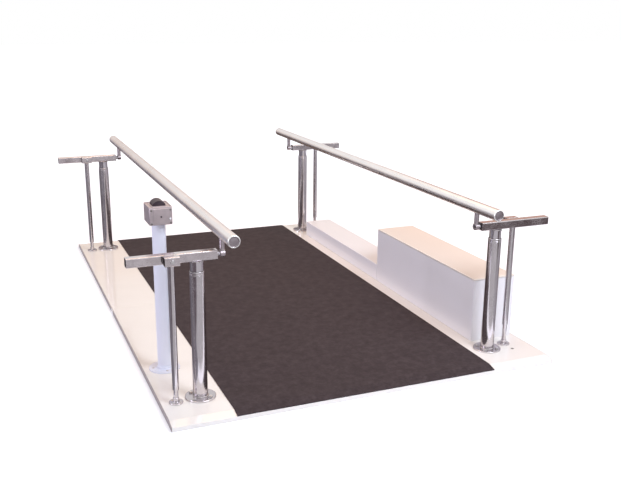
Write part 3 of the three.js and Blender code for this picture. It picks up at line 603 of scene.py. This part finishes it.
# Guides
# A slim polished tube hangs from each arm and runs on a fixed rod, so that the ram can't turn. The rod
# stands in a turned foot, held by four cross-head screws.

guide = Sizes(place=(arm.reach, 16), radius=11, wall=2.6)
foot = Sizes(radius=24, thickness=5, collar=10.5, collar_height=14, rod=8, screw_circle=17.5)


def foot_heads(radius, middle, height, first=math.pi / 4):
    """The heads of the four screws of a foot, on a circle round its middle."""
    head = cross_head(radius=4.4, height=2.2, slot=1.2)
    return [moved(head, middle[0] + x, middle[1] + y, height) for x, y in quarter_places(radius, first)]


for tower in towers:
    low, high = tower.box("guide_tube")
    inside = guide.radius - guide.wall
    corners = [(inside, low[2], 0.5), (guide.radius, low[2], 0.8), (guide.radius, high[2], 0.3),
               (inside, high[2], 0.3)]
    tube = moved(turned(corners, 64, hold=0.2), *guide.place)
    tower.piece("guide_sleeve", [tube], mirror_steel, "polished_steel", "guide_tube", body=tower.lift)
    bead = weld_ring(guide.radius + 0.2, high[2] - 0.8, size=1.2, ripples=24, rows=144)
    tower.piece("guide_weld", [moved(bead, *guide.place)], weld_metal, "polished_steel", body=tower.lift)
    top = tower.box("guide_rod")[1][2]
    plate = seat + foot.thickness
    rim = plate + foot.collar_height
    corners = [
        (0, seat, 0), (foot.radius, seat, 0.4), (foot.radius, plate, 1.4), (foot.collar, plate, 1.2),
        (foot.collar, rim, 1), (foot.rod, rim, 0.3), (foot.rod, top, 1), (0, top, 0),
    ]
    rod = moved(turned(corners, 64, hold=0.15), *guide.place)
    tower.piece("guide_post", [rod], mirror_steel, "polished_steel", "guide_rod")
    heads = foot_heads(foot.screw_circle, guide.place, plate)
    tower.piece("foot_screws", heads, fastener_zinc, "zinc_steel")

# Slide bars and bushes
# A zinc-plated 16 mm bar slides in each arm, so that the handrails can move closer together. A turned
# nylon bush in the arm's inner end guides it, and a square shoe keeps it in.

# Grey nylon, turned: a dull satin with fine tool rings.
nylon = clouded("turned_nylon", 5, ("#837c80", "#9a9397"), (0.4, 0.6), {"IOR": 1.53},
                size=1.5, strength=0.3, depth=0.05)

# Bright zinc on a drawn bar: smoother than the fasteners, with fine lines along it.
plated_bar = clouded("bright_zinc_bar", 12, ("#a8a2a6", "#bab4b8"), (0.26, 0.38), bare_metal,
                     size=1.5, stretch=(0.03, 1, 1), strength=0.15, depth=0.03)

bar = Sizes(radius=8, bore=5, shoe=38, shoe_half=12.7)
for tower in towers:
    low, high = tower.box("bush")
    axis, half = (low[2] + high[2]) / 2, (high[2] - low[2]) / 2
    length = (high - low)[0]
    hole = bar.radius + hairline
    outside = [plan(a, a, corner, z, steps=15) for a, corner, z in (
        (half - 0.5, 0.6, 0), (half, 1, 0.6), (half, 1, length - 0.6), (half - 0.5, 0.6, length))]
    turn = np.arctan2(outside[1][:, 1], outside[1][:, 0])
    bore = [polar(r, turn, z)
            for r, z in ((hole + 0.5, length), (hole, length - 0.5), (hole, 0.5), (hole + 0.5, 0))]
    bush = along_x(lofted(outside + bore, wrap=True), -tower.near(low, high) - length, 0, axis)
    tower.piece("nylon_bush", [bush], nylon, "grey_nylon", "bush", body=tower.lift)
    start, end = sorted(tower.turn * (corner[0] - tower.middle[0]) for corner in tower.box("slide_bar"))
    length = end - start - 1
    corners = [(bar.bore, 0, 0.3), (bar.radius, 0, 0.8), (bar.radius, length, 0), (bar.bore, length, 0)]
    rod = along_x(turned(corners, 64, hold=0.2), start, 0, axis)
    half = bar.shoe_half
    shoe = soft_box((-half, -half, 0), (half, half, bar.shoe), 1.5, 1)
    shoe = along_x(shoe, end - bar.shoe, 0, axis)
    tower.piece("slide_rod", [rod, shoe], plated_bar, "zinc_steel", "slide_bar", body=tower.rail)

# Rail posts
# A turned hub clamps on the end of each slide bar with a grub screw. A short 18 mm post rises from it,
# notched to the handrail and welded under it.

# Stainless steel, turned and brushed: greyer and softer than the columns.
post_steel = clouded("brushed_turned_stainless", 20, ("#a59b9f", "#b8aeb2"), (0.26, 0.36), steel,
                     size=1.4, stretch=(1, 1, 0.1), strength=0.15, depth=0.03)

post = Sizes(hub_radius=12, hub=17, radius=9, to_column=87.5)
low, high = box_of("handrail_left")
rail_radius, rail_axis = (high - low)[0] / 2, (high + low)[2] / 2


def rail_underside(across):
    """The height of the handrail's underside, a hairline off, at a distance from its middle."""
    return rail_axis - np.sqrt((rail_radius + hairline) ** 2 - across ** 2)


for tower in towers:
    low, high = tower.box("arm")
    axis = (low + high)[2] / 2
    inner, outer = bar.radius + hairline, post.hub_radius
    corners = [(inner, 0, 0.3), (outer, 0, 1.2), (outer, post.hub, 1.2), (inner, post.hub, 0.3)]
    hub = along_x(turned(corners, 64, hold=0.2), -post.to_column - post.hub / 2, 0, axis)
    angle = angles(64)
    notch = rail_underside(post.radius * np.cos(angle))
    levels = [axis + bar.radius + 0.5, axis + outer + 6, notch - 3, notch]
    stem = lofted([polar(post.radius, angle, z) for z in levels])
    shapes = [hub, moved(stem, -post.to_column)]
    tower.piece("rail_stand", shapes, post_steel, "satin_steel", "rail_post", body=tower.rail)
    seam = rail_underside(post.radius * np.cos(angles(160)))[:, None]
    saddle = weld_ring(post.radius + 0.3, seam, size=1.3, ripples=26, rows=160, swell=0.12)
    collar = weld_ring(post.radius + 0.2, axis + outer - 0.6, size=1.2, ripples=24, rows=144)
    beads = [moved(bead, -post.to_column) for bead in (saddle, collar)]
    tower.piece("post_welds", beads, weld_metal, "satin_steel", body=tower.rail)
    points, faces = cross_head(radius=3, height=0.8, slot=1.2, count=32, rows=10)
    grub = points * (1, 1, -1), [part[:, ::-1] for part in faces]
    grub = moved(grub, -post.to_column, 0, axis - outer + 0.3)
    tower.piece("grub_screw", [grub], fastener_zinc, "zinc_steel", body=tower.rail)

# Handrails
# Two 43 mm satin stainless tubes. A turned cast plug is pressed into each end, and the rim is rolled in
# over it.

# Stainless steel, ground with fine abrasive: soft, wide highlights.
satin_steel = clouded("satin_ground_stainless", 90, ("#f0eeee", "#f7f5f5"), (0.25, 0.32),
                      {"Metallic": 1.0, "Specular Tint": linear("#e2dbda")},
                      size=3, stretch=(1, 8, 1), strength=0.15, depth=0.03)

# Cast aluminium, turned on its face: a grey, slightly mottled metal.
cast_plug = clouded("turned_cast_aluminium", 7, ("#82787c", "#9f9699"), (0.3, 0.5), {"Metallic": 0.9},
                    size=2, strength=0.25, depth=0.1)

rail_wall, rail_roll, rim_radius = 2, 4, 3.2
inside, lip = rail_radius - rail_wall, rail_radius - rail_roll
for side in ("left", "right"):
    low, high = box_of(f"handrail_{side}")
    middle = (low + high) / 2
    length = (high - low)[1]
    tube = turned([
        (inside, rail_wall, 0.3), (lip, rail_wall, 0.5), (lip, 0, 0.5), (rail_radius, 0, rim_radius),
        (rail_radius, length, rim_radius), (lip, length, 0.5), (lip, length - rail_wall, 0.5),
        (inside, length - rail_wall, 0.3),
    ], steps=6, hold=0.3)
    tube = along_y(tube, middle[0], low[1], middle[2])
    piece(f"rail_{side}", [tube], satin_steel, "satin_steel", f"handrail_{side}", body=f"{side}_rail")
    for end, outward in (("front", -1), ("rear", 1)):
        node = f"rail_plug_{end}_{side}"
        low, high = box_of(node)
        radius, depth = (high - low)[0] / 2, (high - low)[1]
        points, faces = along_y(turned([
            (0, 0, 0), (radius, 0, 1), (radius, depth, 1.2), (radius - 3, depth, 0.6),
            (radius - 4.2, depth - 1.2, 0.6), (3, depth - 0.4, 0.5), (0, depth - 0.4, 0),
        ], 96))
        plug = points * (1, outward, outward), faces
        plug = moved(plug, middle[0], low[1] if outward > 0 else high[1], middle[2])
        piece(f"end_plug_{end}_{side}", [plug], cast_plug, "cast_aluminium", node, body=f"{side}_rail")

# Control pedestal
# A 49 mm steel tube welded into a turned foot, stove enamelled white. Its enamel is a darker, bluer copy,
# which paints the cool shade on it. Four cross-head screws hold it to the left board.

# Stove enamel on sheet steel: white with a soft gloss over a very fine orange peel, darkened and tinted blue
# to paint the cool shade that falls on the pedestal.
enamelled = {"IOR": 1.5, "Coat Weight": 0.15, "Coat Roughness": 0.15}
orange_peel = {"size": 2.5, "strength": 0.12, "depth": 0.1}
cool_shaded_enamel = clouded("painted_cool_shade_enamel", 140, ("#dcdeea", "#e2e3ee"), (0.3, 0.34), enamelled, **orange_peel)

pedestal = Sizes(foot=57, thickness=5, hub=28, hub_height=8, radius=24.5, screw_circle=42)
low, high = box_of("pedestal_post")
pedestal_at = (low + high)[:2] / 2
plate = seat + pedestal.thickness
rim = plate + pedestal.hub_height
tube = turned([
    (0, seat, 0), (pedestal.foot, seat, 0.5), (pedestal.foot, plate, 2), (pedestal.hub, plate, 1.5),
    (pedestal.hub, rim, 2), (pedestal.radius, rim, 1), (pedestal.radius, high[2], 0.3),
    (0, high[2], 0),
], steps=5, hold=0.2)
piece("pedestal_tube", [moved(tube, *pedestal_at)], cool_shaded_enamel, "white_enamel", "pedestal_post")
heads = foot_heads(pedestal.screw_circle, pedestal_at, plate, 0)
piece("pedestal_screws", heads, fastener_zinc, "zinc_steel")

# Control box
# A die-cast aluminium case, tumbled but not painted, with a raised rim round the rocker's window. A
# cover with a raised middle closes its front on a rubber gasket, held by four screws.

# Die-cast aluminium, tumbled: grey, dull, with a fine cast grain and paler worn spots.
cast_alloy = clouded("die_cast_aluminium", 22, ("#a59a9d", "#c8bcbf"), (0.36, 0.5), {"Metallic": 0.85},
                     size=1.8, strength=0.35, depth=0.12)

low, high = box_of("control_box")
case_at, case_half = (low + high)[:2] / 2, (high - low)[:2] / 2
rim = Sizes(frame=5, lip=3.5, height=3)
window = np.array([23.5, 28.2])
case_top, tray = high[2], high[2] - rim.height
lip, frame_half = case_half - rim.lip, window + rim.frame
corner, edge, top_edge = 6, 1.6, 0.9
drop = [(1 - math.sin(t), 1 - math.cos(t)) for t in np.linspace(0, np.pi / 2, 5)]
levels = [(*(case_half - edge * a), corner, low[2] + edge * b) for a, b in drop]
levels += [(*(case_half - top_edge * b), corner, case_top - top_edge * a) for a, b in drop]
levels += [
    (*(lip + 0.6), 3, case_top), (*lip, 2.5, case_top - 0.6), (*lip, 2.5, tray + 0.8),
    (*(lip - 0.8), 2, tray), (*(frame_half + 0.6), 5, tray), (*frame_half, 5, tray + 0.6),
    (*frame_half, 5, case_top - 0.8), (*(frame_half - 0.8), 4, case_top), (*(window + 0.8), 1.6, case_top),
    (*window, 1, case_top - 0.8), (*window, 1, tray - 9),
]
case = lofted([plan(*level, case_at) for level in levels])
piece("control_case", [case], cast_alloy, "cast_aluminium", "control_box")

# Blackened steel, oiled: nearly black, with a small hard glint.
black_oxide = clouded("blackened_steel", 2.5, ("#2c2629", "#4a4346"), (0.25, 0.45), {"Metallic": 0.9})


def facing_front(shape, x, y, z):
    """A shape drawn flat and rising along Z, turned to rise towards the front, -Y, and shifted."""
    return shape[0] @ np.array([[1, 0, 0], [0, 0, 1], [0, -1, 0]]) + (x, y, z), shape[1]


cover_low, cover_high = box_of("control_box_cover")
cover_middle, cover_half = (low[2] + tray) / 2, (cover_high - cover_low)[[0, 2]] / 2
seam = low[1]
plate_face, raised_face = 2.9, 4.3
gasket = soft_box((*(-cover_half + 0.8), 0), (*(cover_half - 0.8), 0.9), 4, 0.2)
gasket = facing_front(gasket, case_at[0], seam + 0.4, cover_middle)
piece("cover_gasket", [gasket], seal_rubber, "black_plastic")
face = soft_box((*-cover_half, 0.3), (*cover_half, plate_face), 4, 0.8)
raised_half = cover_half - (12, 1)
raised = soft_box((*-raised_half, 1), (*raised_half, raised_face), 2, 1)
plates = [facing_front(shape, case_at[0], seam, cover_middle) for shape in (face, raised)]
piece("control_cover", plates, cast_alloy, "cast_aluminium", "control_box_cover")
screw_inset = 7
across, up = case_half[0] - screw_inset, (tray - low[2]) / 2 - screw_inset
head = cross_head(radius=3.5, height=2, slot=1)
screws = [facing_front(head, case_at[0] + a * across, seam - plate_face, cover_middle + b * up)
          for a in (-1, 1) for b in (-1, 1)]
piece("cover_screws", screws, dull_zinc, "zinc_steel")
head = cross_head(radius=3, height=1.6, slot=1)
middle_screw = facing_front(head, case_at[0], seam - raised_face, cover_middle)
piece("middle_screw", [middle_screw], black_oxide, "zinc_steel")

# A small near-white polycarbonate lens with a hard gloss, whose white colour paints the bright glint on the
# case's front.
highlight_lens_plastic = clouded("painted_highlight_plastic", 4, ("#f2f0f6", "#fdfbff"), (0.08, 0.16),
                       {"IOR": 1.58, "Coat Weight": 0.6, "Coat Roughness": 0.03})
lens = Sizes(radius=3.6, rim=0.6, rise=1.4, inset=8.5, height=22)
bezel = Sizes(inner=3.7, outer=4.9, height=1.1)
lens_place = (case_at[0] + case_half[0] - lens.inset, seam - plate_face, low[2] + lens.height)
dome = [(lens.radius * math.cos(t), lens.rim + lens.rise * math.sin(t), 0)
        for t in np.linspace(0, np.pi / 2, 8)[:-1]]
dome = turned([(0, 0, 0), (lens.radius, 0, 0), *dome, (0, lens.rim + lens.rise, 0)], 48)
piece("highlight_lens", [facing_front(dome, *lens_place)], highlight_lens_plastic, "black_plastic")
corners = [(bezel.inner, 0, 0), (bezel.outer, 0, 0.2), (bezel.outer, bezel.height, 0.4),
           (bezel.inner, bezel.height, 0.2)]
ring = facing_front(turned(corners, 48, 3, 0.05), *lens_place)
piece("highlight_lens_bezel", [ring], hard_chrome, "polished_steel")

# Rocker
# The raise and lower button: a black ABS moulding with a finely grained skin, arched from side to side,
# on two moulded pins. The switch that it works is screwed under the window.

# ABS, moulded: near black, with a soft sheen where thumbs have polished it.
moulded_abs = clouded("moulded_abs", 16, ("#32262d", "#42353c"), (0.42, 0.58),
                      {"IOR": 1.53, "Specular IOR Level": 0.25}, size=1.1, strength=0.3, depth=0.06)

low, high = box_of("rocker_switch")
half, skirt, shoulder = (high - low)[0] / 2, 4, 8
pivot = low[2] + skirt
crown = high[2] - pivot
rise = crown - shoulder
arch = (half ** 2 + rise ** 2) / (2 * rise)
sweep = np.linspace(1, -1, 33) * math.asin((half - 1) / arch)
top = np.column_stack([arch * np.sin(sweep), crown - arch + arch * np.cos(sweep)])
sides = rounded([(-half, shoulder, 0), (-half, -skirt, 0.8), (half, -skirt, 0.8), (half, shoulder, 0)])
outline = np.concatenate([top, sides])
pin = Sizes(length=3, radius=2)
depth, edge = (high - low)[1] / 2 - pin.length, 1.2
stations = [(-depth, edge), (-depth + 0.35, edge * 0.45), (-depth + edge, 0), (-depth + edge + 0.4, 0)]
stations += [(-y, inset) for y, inset in stations[::-1]]
rings = []
for y, inset in stations:
    drawn_in = outline * ((half - inset) / half, (crown - inset / 2) / crown)
    rings.append(np.column_stack([drawn_in[:, 0], np.full(len(drawn_in), y), drawn_in[:, 1]]))
button = moved(lofted(rings), *case_at, pivot)
length = 2 * (depth + pin.length)
rod = turned([(0, 0, 0), (pin.radius, 0, 0.3), (pin.radius, length, 0.3), (0, length, 0)], 32, 3)
rod = along_y(rod, case_at[0], case_at[1] - depth - pin.length, pivot)
piece("rocker_button", [button, rod], moulded_abs, "black_plastic", "rocker_switch", body="rocker")

# Motor housing and lid
# Folded and welded sheet steel, stove enamelled, over the power unit. A lid with rounded edges lies on
# top, over a thin dark seam.

# The same stove enamel, without the painted cool shade.
enamel = clouded("stove_enamel", 140, ("#ece9eb", "#f1eef0"), (0.3, 0.34), enamelled, **orange_peel)

# And on the lid, a warmer copy of it, which paints the warm light that falls on the top.
warm_lit_lid_enamel = clouded("painted_warm_light_enamel", 160, ("#eae1d7", "#efe7de"), (0.28, 0.34), enamelled, **orange_peel)

low, high = box_of("motor_housing")
housing = Sizes(corner=6, wall=3, lid_edge=3.4)
bottom, top = low[2], high[2]
up_outside = [(0.4, bottom), (0, bottom + 0.4), (0, bottom + 1), (0, top - 1), (0, top - 0.4), (0.4, top)]
down_inside = [(housing.wall, top), (housing.wall, bottom)]
walls = stacked(low, high, housing.corner, up_outside + down_inside, 8, wrap=True)
piece("housing_walls", [walls], enamel, "white_enamel", "motor_housing")
lid = soft_box(*box_of("housing_lid"), housing.corner, housing.lid_edge, 6)
piece("housing_cover", [lid], warm_lit_lid_enamel, "white_enamel", "housing_lid")

# Duct
# A long folded cover of the same enamelled sheet, open below, that hides the pipes to the rear columns.
# At angle t round its top edge it is drawn in by edge (1 - cos t) and lies edge (1 - sin t) below the top.

low, high = box_of("duct_cover")
duct = Sizes(corner=3, edge=4.5, wall=3)
bottom, top = low[2], high[2]
inside = [(duct.wall + 0.5, top - duct.wall), (duct.wall, top - duct.wall - 0.5), (duct.wall, bottom)]
outside = [(0.3, bottom), (0, bottom + 0.3), (0, top - duct.edge - 0.3)]
outside += [(duct.edge * (1 - math.cos(t)), top - duct.edge * (1 - math.sin(t)))
            for t in np.linspace(0, np.pi / 2, 7)]
outside += [(duct.edge + 0.3, top)]
sheet = stacked(low, high, duct.corner, inside + outside, least=0.3)
piece("duct_sheet", [sheet], enamel, "white_enamel", "duct_cover")

# Mains inlet
# A moulded appliance inlet on the housing's outer side: a flange held by two screws, and a recess with
# three brass blades, where the mains lead plugs in.

brass = clouded("rolled_brass", 3, ("#b08d57", "#d9b97a"), (0.2, 0.4), bare_metal)

low, high = box_of("power_inlet")
middle, (_, half_y, half_z) = (low + high) / 2, (high - low) / 2
inlet = Sizes(flange=2, recess=(11, 7), depth=14)
blade_half = (0.8, 1.9)
front, back = high[0], high[0] - inlet.flange
levels = [(half_y - 10, half_z - 3, 1, low[0]), (half_y - 10, half_z - 3, 1, back),
          (half_y - 0.3, half_z - 0.3, 3, back), (half_y, half_z, 3, back + 0.4),
          (half_y, half_z, 3, front - 0.5), (half_y - 0.5, half_z - 0.5, 2.5, front),
          (inlet.recess[0] + 0.5, inlet.recess[1] + 0.5, 2, front),
          (*inlet.recess, 1.6, front - 0.5), (*inlet.recess, 1.6, front - inlet.depth)]
socket = along_x(lofted([plan(*level) for level in levels]), 0, *middle[1:])
piece("mains_inlet", [socket], moulded_abs, "black_plastic", "power_inlet")
blade = soft_box((*-np.array(blade_half), 0), (*blade_half, inlet.depth - 3), 0.3, 0.3, 3)
blades = [along_x(blade, front - inlet.depth, middle[1] + y, middle[2] + z)
          for y, z in ((-5, -1.5), (0, 2), (5, -1.5))]
piece("inlet_blades", blades, brass, "black_plastic")
head = cross_head(radius=2.6, height=1.1, slot=0.9)
screws = [along_x(head, front - 0.9, middle[1] + y, middle[2]) for y in (-half_y + 5, half_y - 5)]
piece("inlet_screws", screws, fastener_zinc, "zinc_steel")

# Power unit
# Inside the housing: a flanged motor in grey-blue paint, a cast pump block, a translucent oil tank, and
# the flow divider with its zinc-plated pipes. They stay as packed, and so does the switch under the rocker.

# Air-dried machine enamel over a rough casting.
motor_paint = clouded("machine_enamel", 30, ("#46525e", "#566371"), (0.35, 0.55), {"IOR": 1.5},
                      size=6, strength=0.5, depth=0.3)

# Blow-moulded polyethylene, milky grey with the oil behind it.
tank_plastic = clouded("blow_moulded_polyethylene", 30, ("#85888c", "#a2a29c"), (0.35, 0.5),
                       {"IOR": 1.51, "Subsurface Weight": 0.2})

carried = {
    "pump_motor": motor_paint, "pump_block": cast_alloy, "oil_tank": tank_plastic,
    "flow_divider_and_pipes": fastener_zinc, "switch_block": moulded_abs,
}
for name, material in carried.items():
    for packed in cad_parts[name].material_slots:
        packed.material = material

# Studio
# A pale floor and a white surround, with a warm soft lamp over the walkway, a cool one at the front and a
# large faint violet one far to the left. Glowing cards round the bars paint reflections in their metal and
# show nowhere else.


def seen_directly(tree):
    """1 for a ray from the camera, off gloss or through glass, and 0 for a ray that gathers light."""
    path = add(tree, "LightPath")
    seen = path["Is Camera Ray"]
    for kind in ("Is Glossy Ray", "Is Transmission Ray"):
        seen = add(tree, "Math", {0: seen, 1: path[kind]}, operation="MAXIMUM")["Value"]
    return seen


# Paper, cool white. It keeps the shadow round the object and glows more towards the far edge.
floor_paper, tree, shader = finish("studio_paper", {"Roughness": 0.9, "Specular IOR Level": 0.1})
distance = add(tree, "VectorMath", {0: add(tree, "TexCoord")["Object"]}, operation="LENGTH")["Value"]
glow = {"Value": distance, "From Min": 1.5, "From Max": 5.0, "To Min": 0.42, "To Max": 0.8}
glow = {0: add(tree, "MapRange", glow)["Result"], 1: seen_directly(tree)}
fill(shader, {"Base Color": linear("#eef1fa"), "Emission Color": (1, 1, 1, 1),
              "Emission Strength": add(tree, "Math", glow, operation="MULTIPLY")["Value"]})


def on_floor(x0, x1, y0, y1, z=0.001):
    """The corners of a sheet that lies flat."""
    return [(x0, y0, z), (x1, y0, z), (x1, y1, z), (x0, y1, z)]


floor_half = 30
corners = on_floor(-floor_half, floor_half, -floor_half, floor_half, z=-0.0005)
floor = skin("floor", corners, [range(4)], floor_paper)


def glowing_card(name, colour, corners):
    """A sheet of one glowing colour between four corners, in metres: a painted reflection, which shows only
    in metal and neither lights nor shades.
    """
    card_glow, tree, shader = finish(name, {"Roughness": 1.0, "Base Color": (0, 0, 0, 1), "Emission Strength": 1.0,
                                       "Emission Color": linear(colour), "Specular IOR Level": 0})
    made = skin(name, corners, [range(4)], card_glow)
    for ray in ("camera", "diffuse", "shadow", "transmission"):
        setattr(made, f"visible_{ray}", False)
    return made


glowing_cards = [
    glowing_card("reflection_card_left", "#86828a", on_floor(-6, -0.78, -1.3, 8)),
    glowing_card("reflection_card_front_left", "#6e646a", on_floor(-3.6, -1.12, -4.5, -1.3)),
    glowing_card("reflection_card_front", "#c9c6ca", on_floor(-1.12, 1.2, -4.5, -1.3)),
    glowing_card("reflection_card_front_right", "#6c6264", on_floor(1.2, 3.6, -4.5, -2.05)),
    glowing_card("reflection_card_right", "#b4b0b6", on_floor(0.85, 3.6, -2.05, 3.5)),
    glowing_card("reflection_wall_left", "#ccc7cd", [(-6, -1, 0), (-6, 8, 0), (-6, 8, 1.9), (-6, -1, 1.9)]),
    glowing_card("reflection_floor_rear", "#6f5f58", on_floor(-0.78, 2.4, 1.35, 6)),
    glowing_card("reflection_wall_rear", "#d2ccce", [(-6, 8, 0), (2.4, 6, 0), (2.4, 6, 1.0), (-6, 8, 1.0)]),
    glowing_card("peach_reflection_wall", "#f6e6da", [(-6, 9, 1.0), (2.4, 6.5, 1.0), (2.4, 6.5, 2.1), (-6, 9, 2.4)]),
    glowing_card("warm_reflection_wall", "#dcb4a4", [(2.4, 3.5, 0), (6.5, 3.5, 0), (6.5, 3.5, 3.2), (2.4, 3.5, 3.2)]),
]

world = bpy.data.worlds.new("studio")
world.use_nodes = True
tree = world.node_tree
tree.nodes.clear()
dim = add(tree, "Background", {"Color": linear("#edecf0"), "Strength": 0.55})[0]
white = add(tree, "Background", {"Color": (1, 1, 1, 1), "Strength": 1.0})[0]
both = add(tree, "MixShader", {0: seen_directly(tree), 1: dim, 2: white})[0]
add(tree, "OutputWorld", {"Surface": both})
bpy.context.scene.world = world


def lamp(name, place, toward, size, power, colour):
    """A square soft lamp at a place, in metres, turned to a point."""
    made = placed(name, bpy.data.lights.new(name, "AREA"))
    made.data.size, made.data.energy, made.data.color = size, power, linear(colour)[:3]
    made.location = place
    made.rotation_mode = "QUATERNION"
    made.rotation_quaternion = (Vector(toward) - Vector(place)).to_track_quat("-Z", "Y")


lamp("rear_lamp", (0.3, 0.7, 3.2), (0.1, 0.3, 0), 2.4, 42, "#ffbe74")
lamp("front_lamp", (1.2, -3.1, 3.0), (0, -0.9, 0), 1.8, 108, "#ecf2ff")
lamp("left_lamp", (-11, -0.2, 2.5), (0.5, -0.2, 0.2), 4.4, 520, "#e9e6fc")

bpy.context.scene.view_settings.view_transform = "Standard"
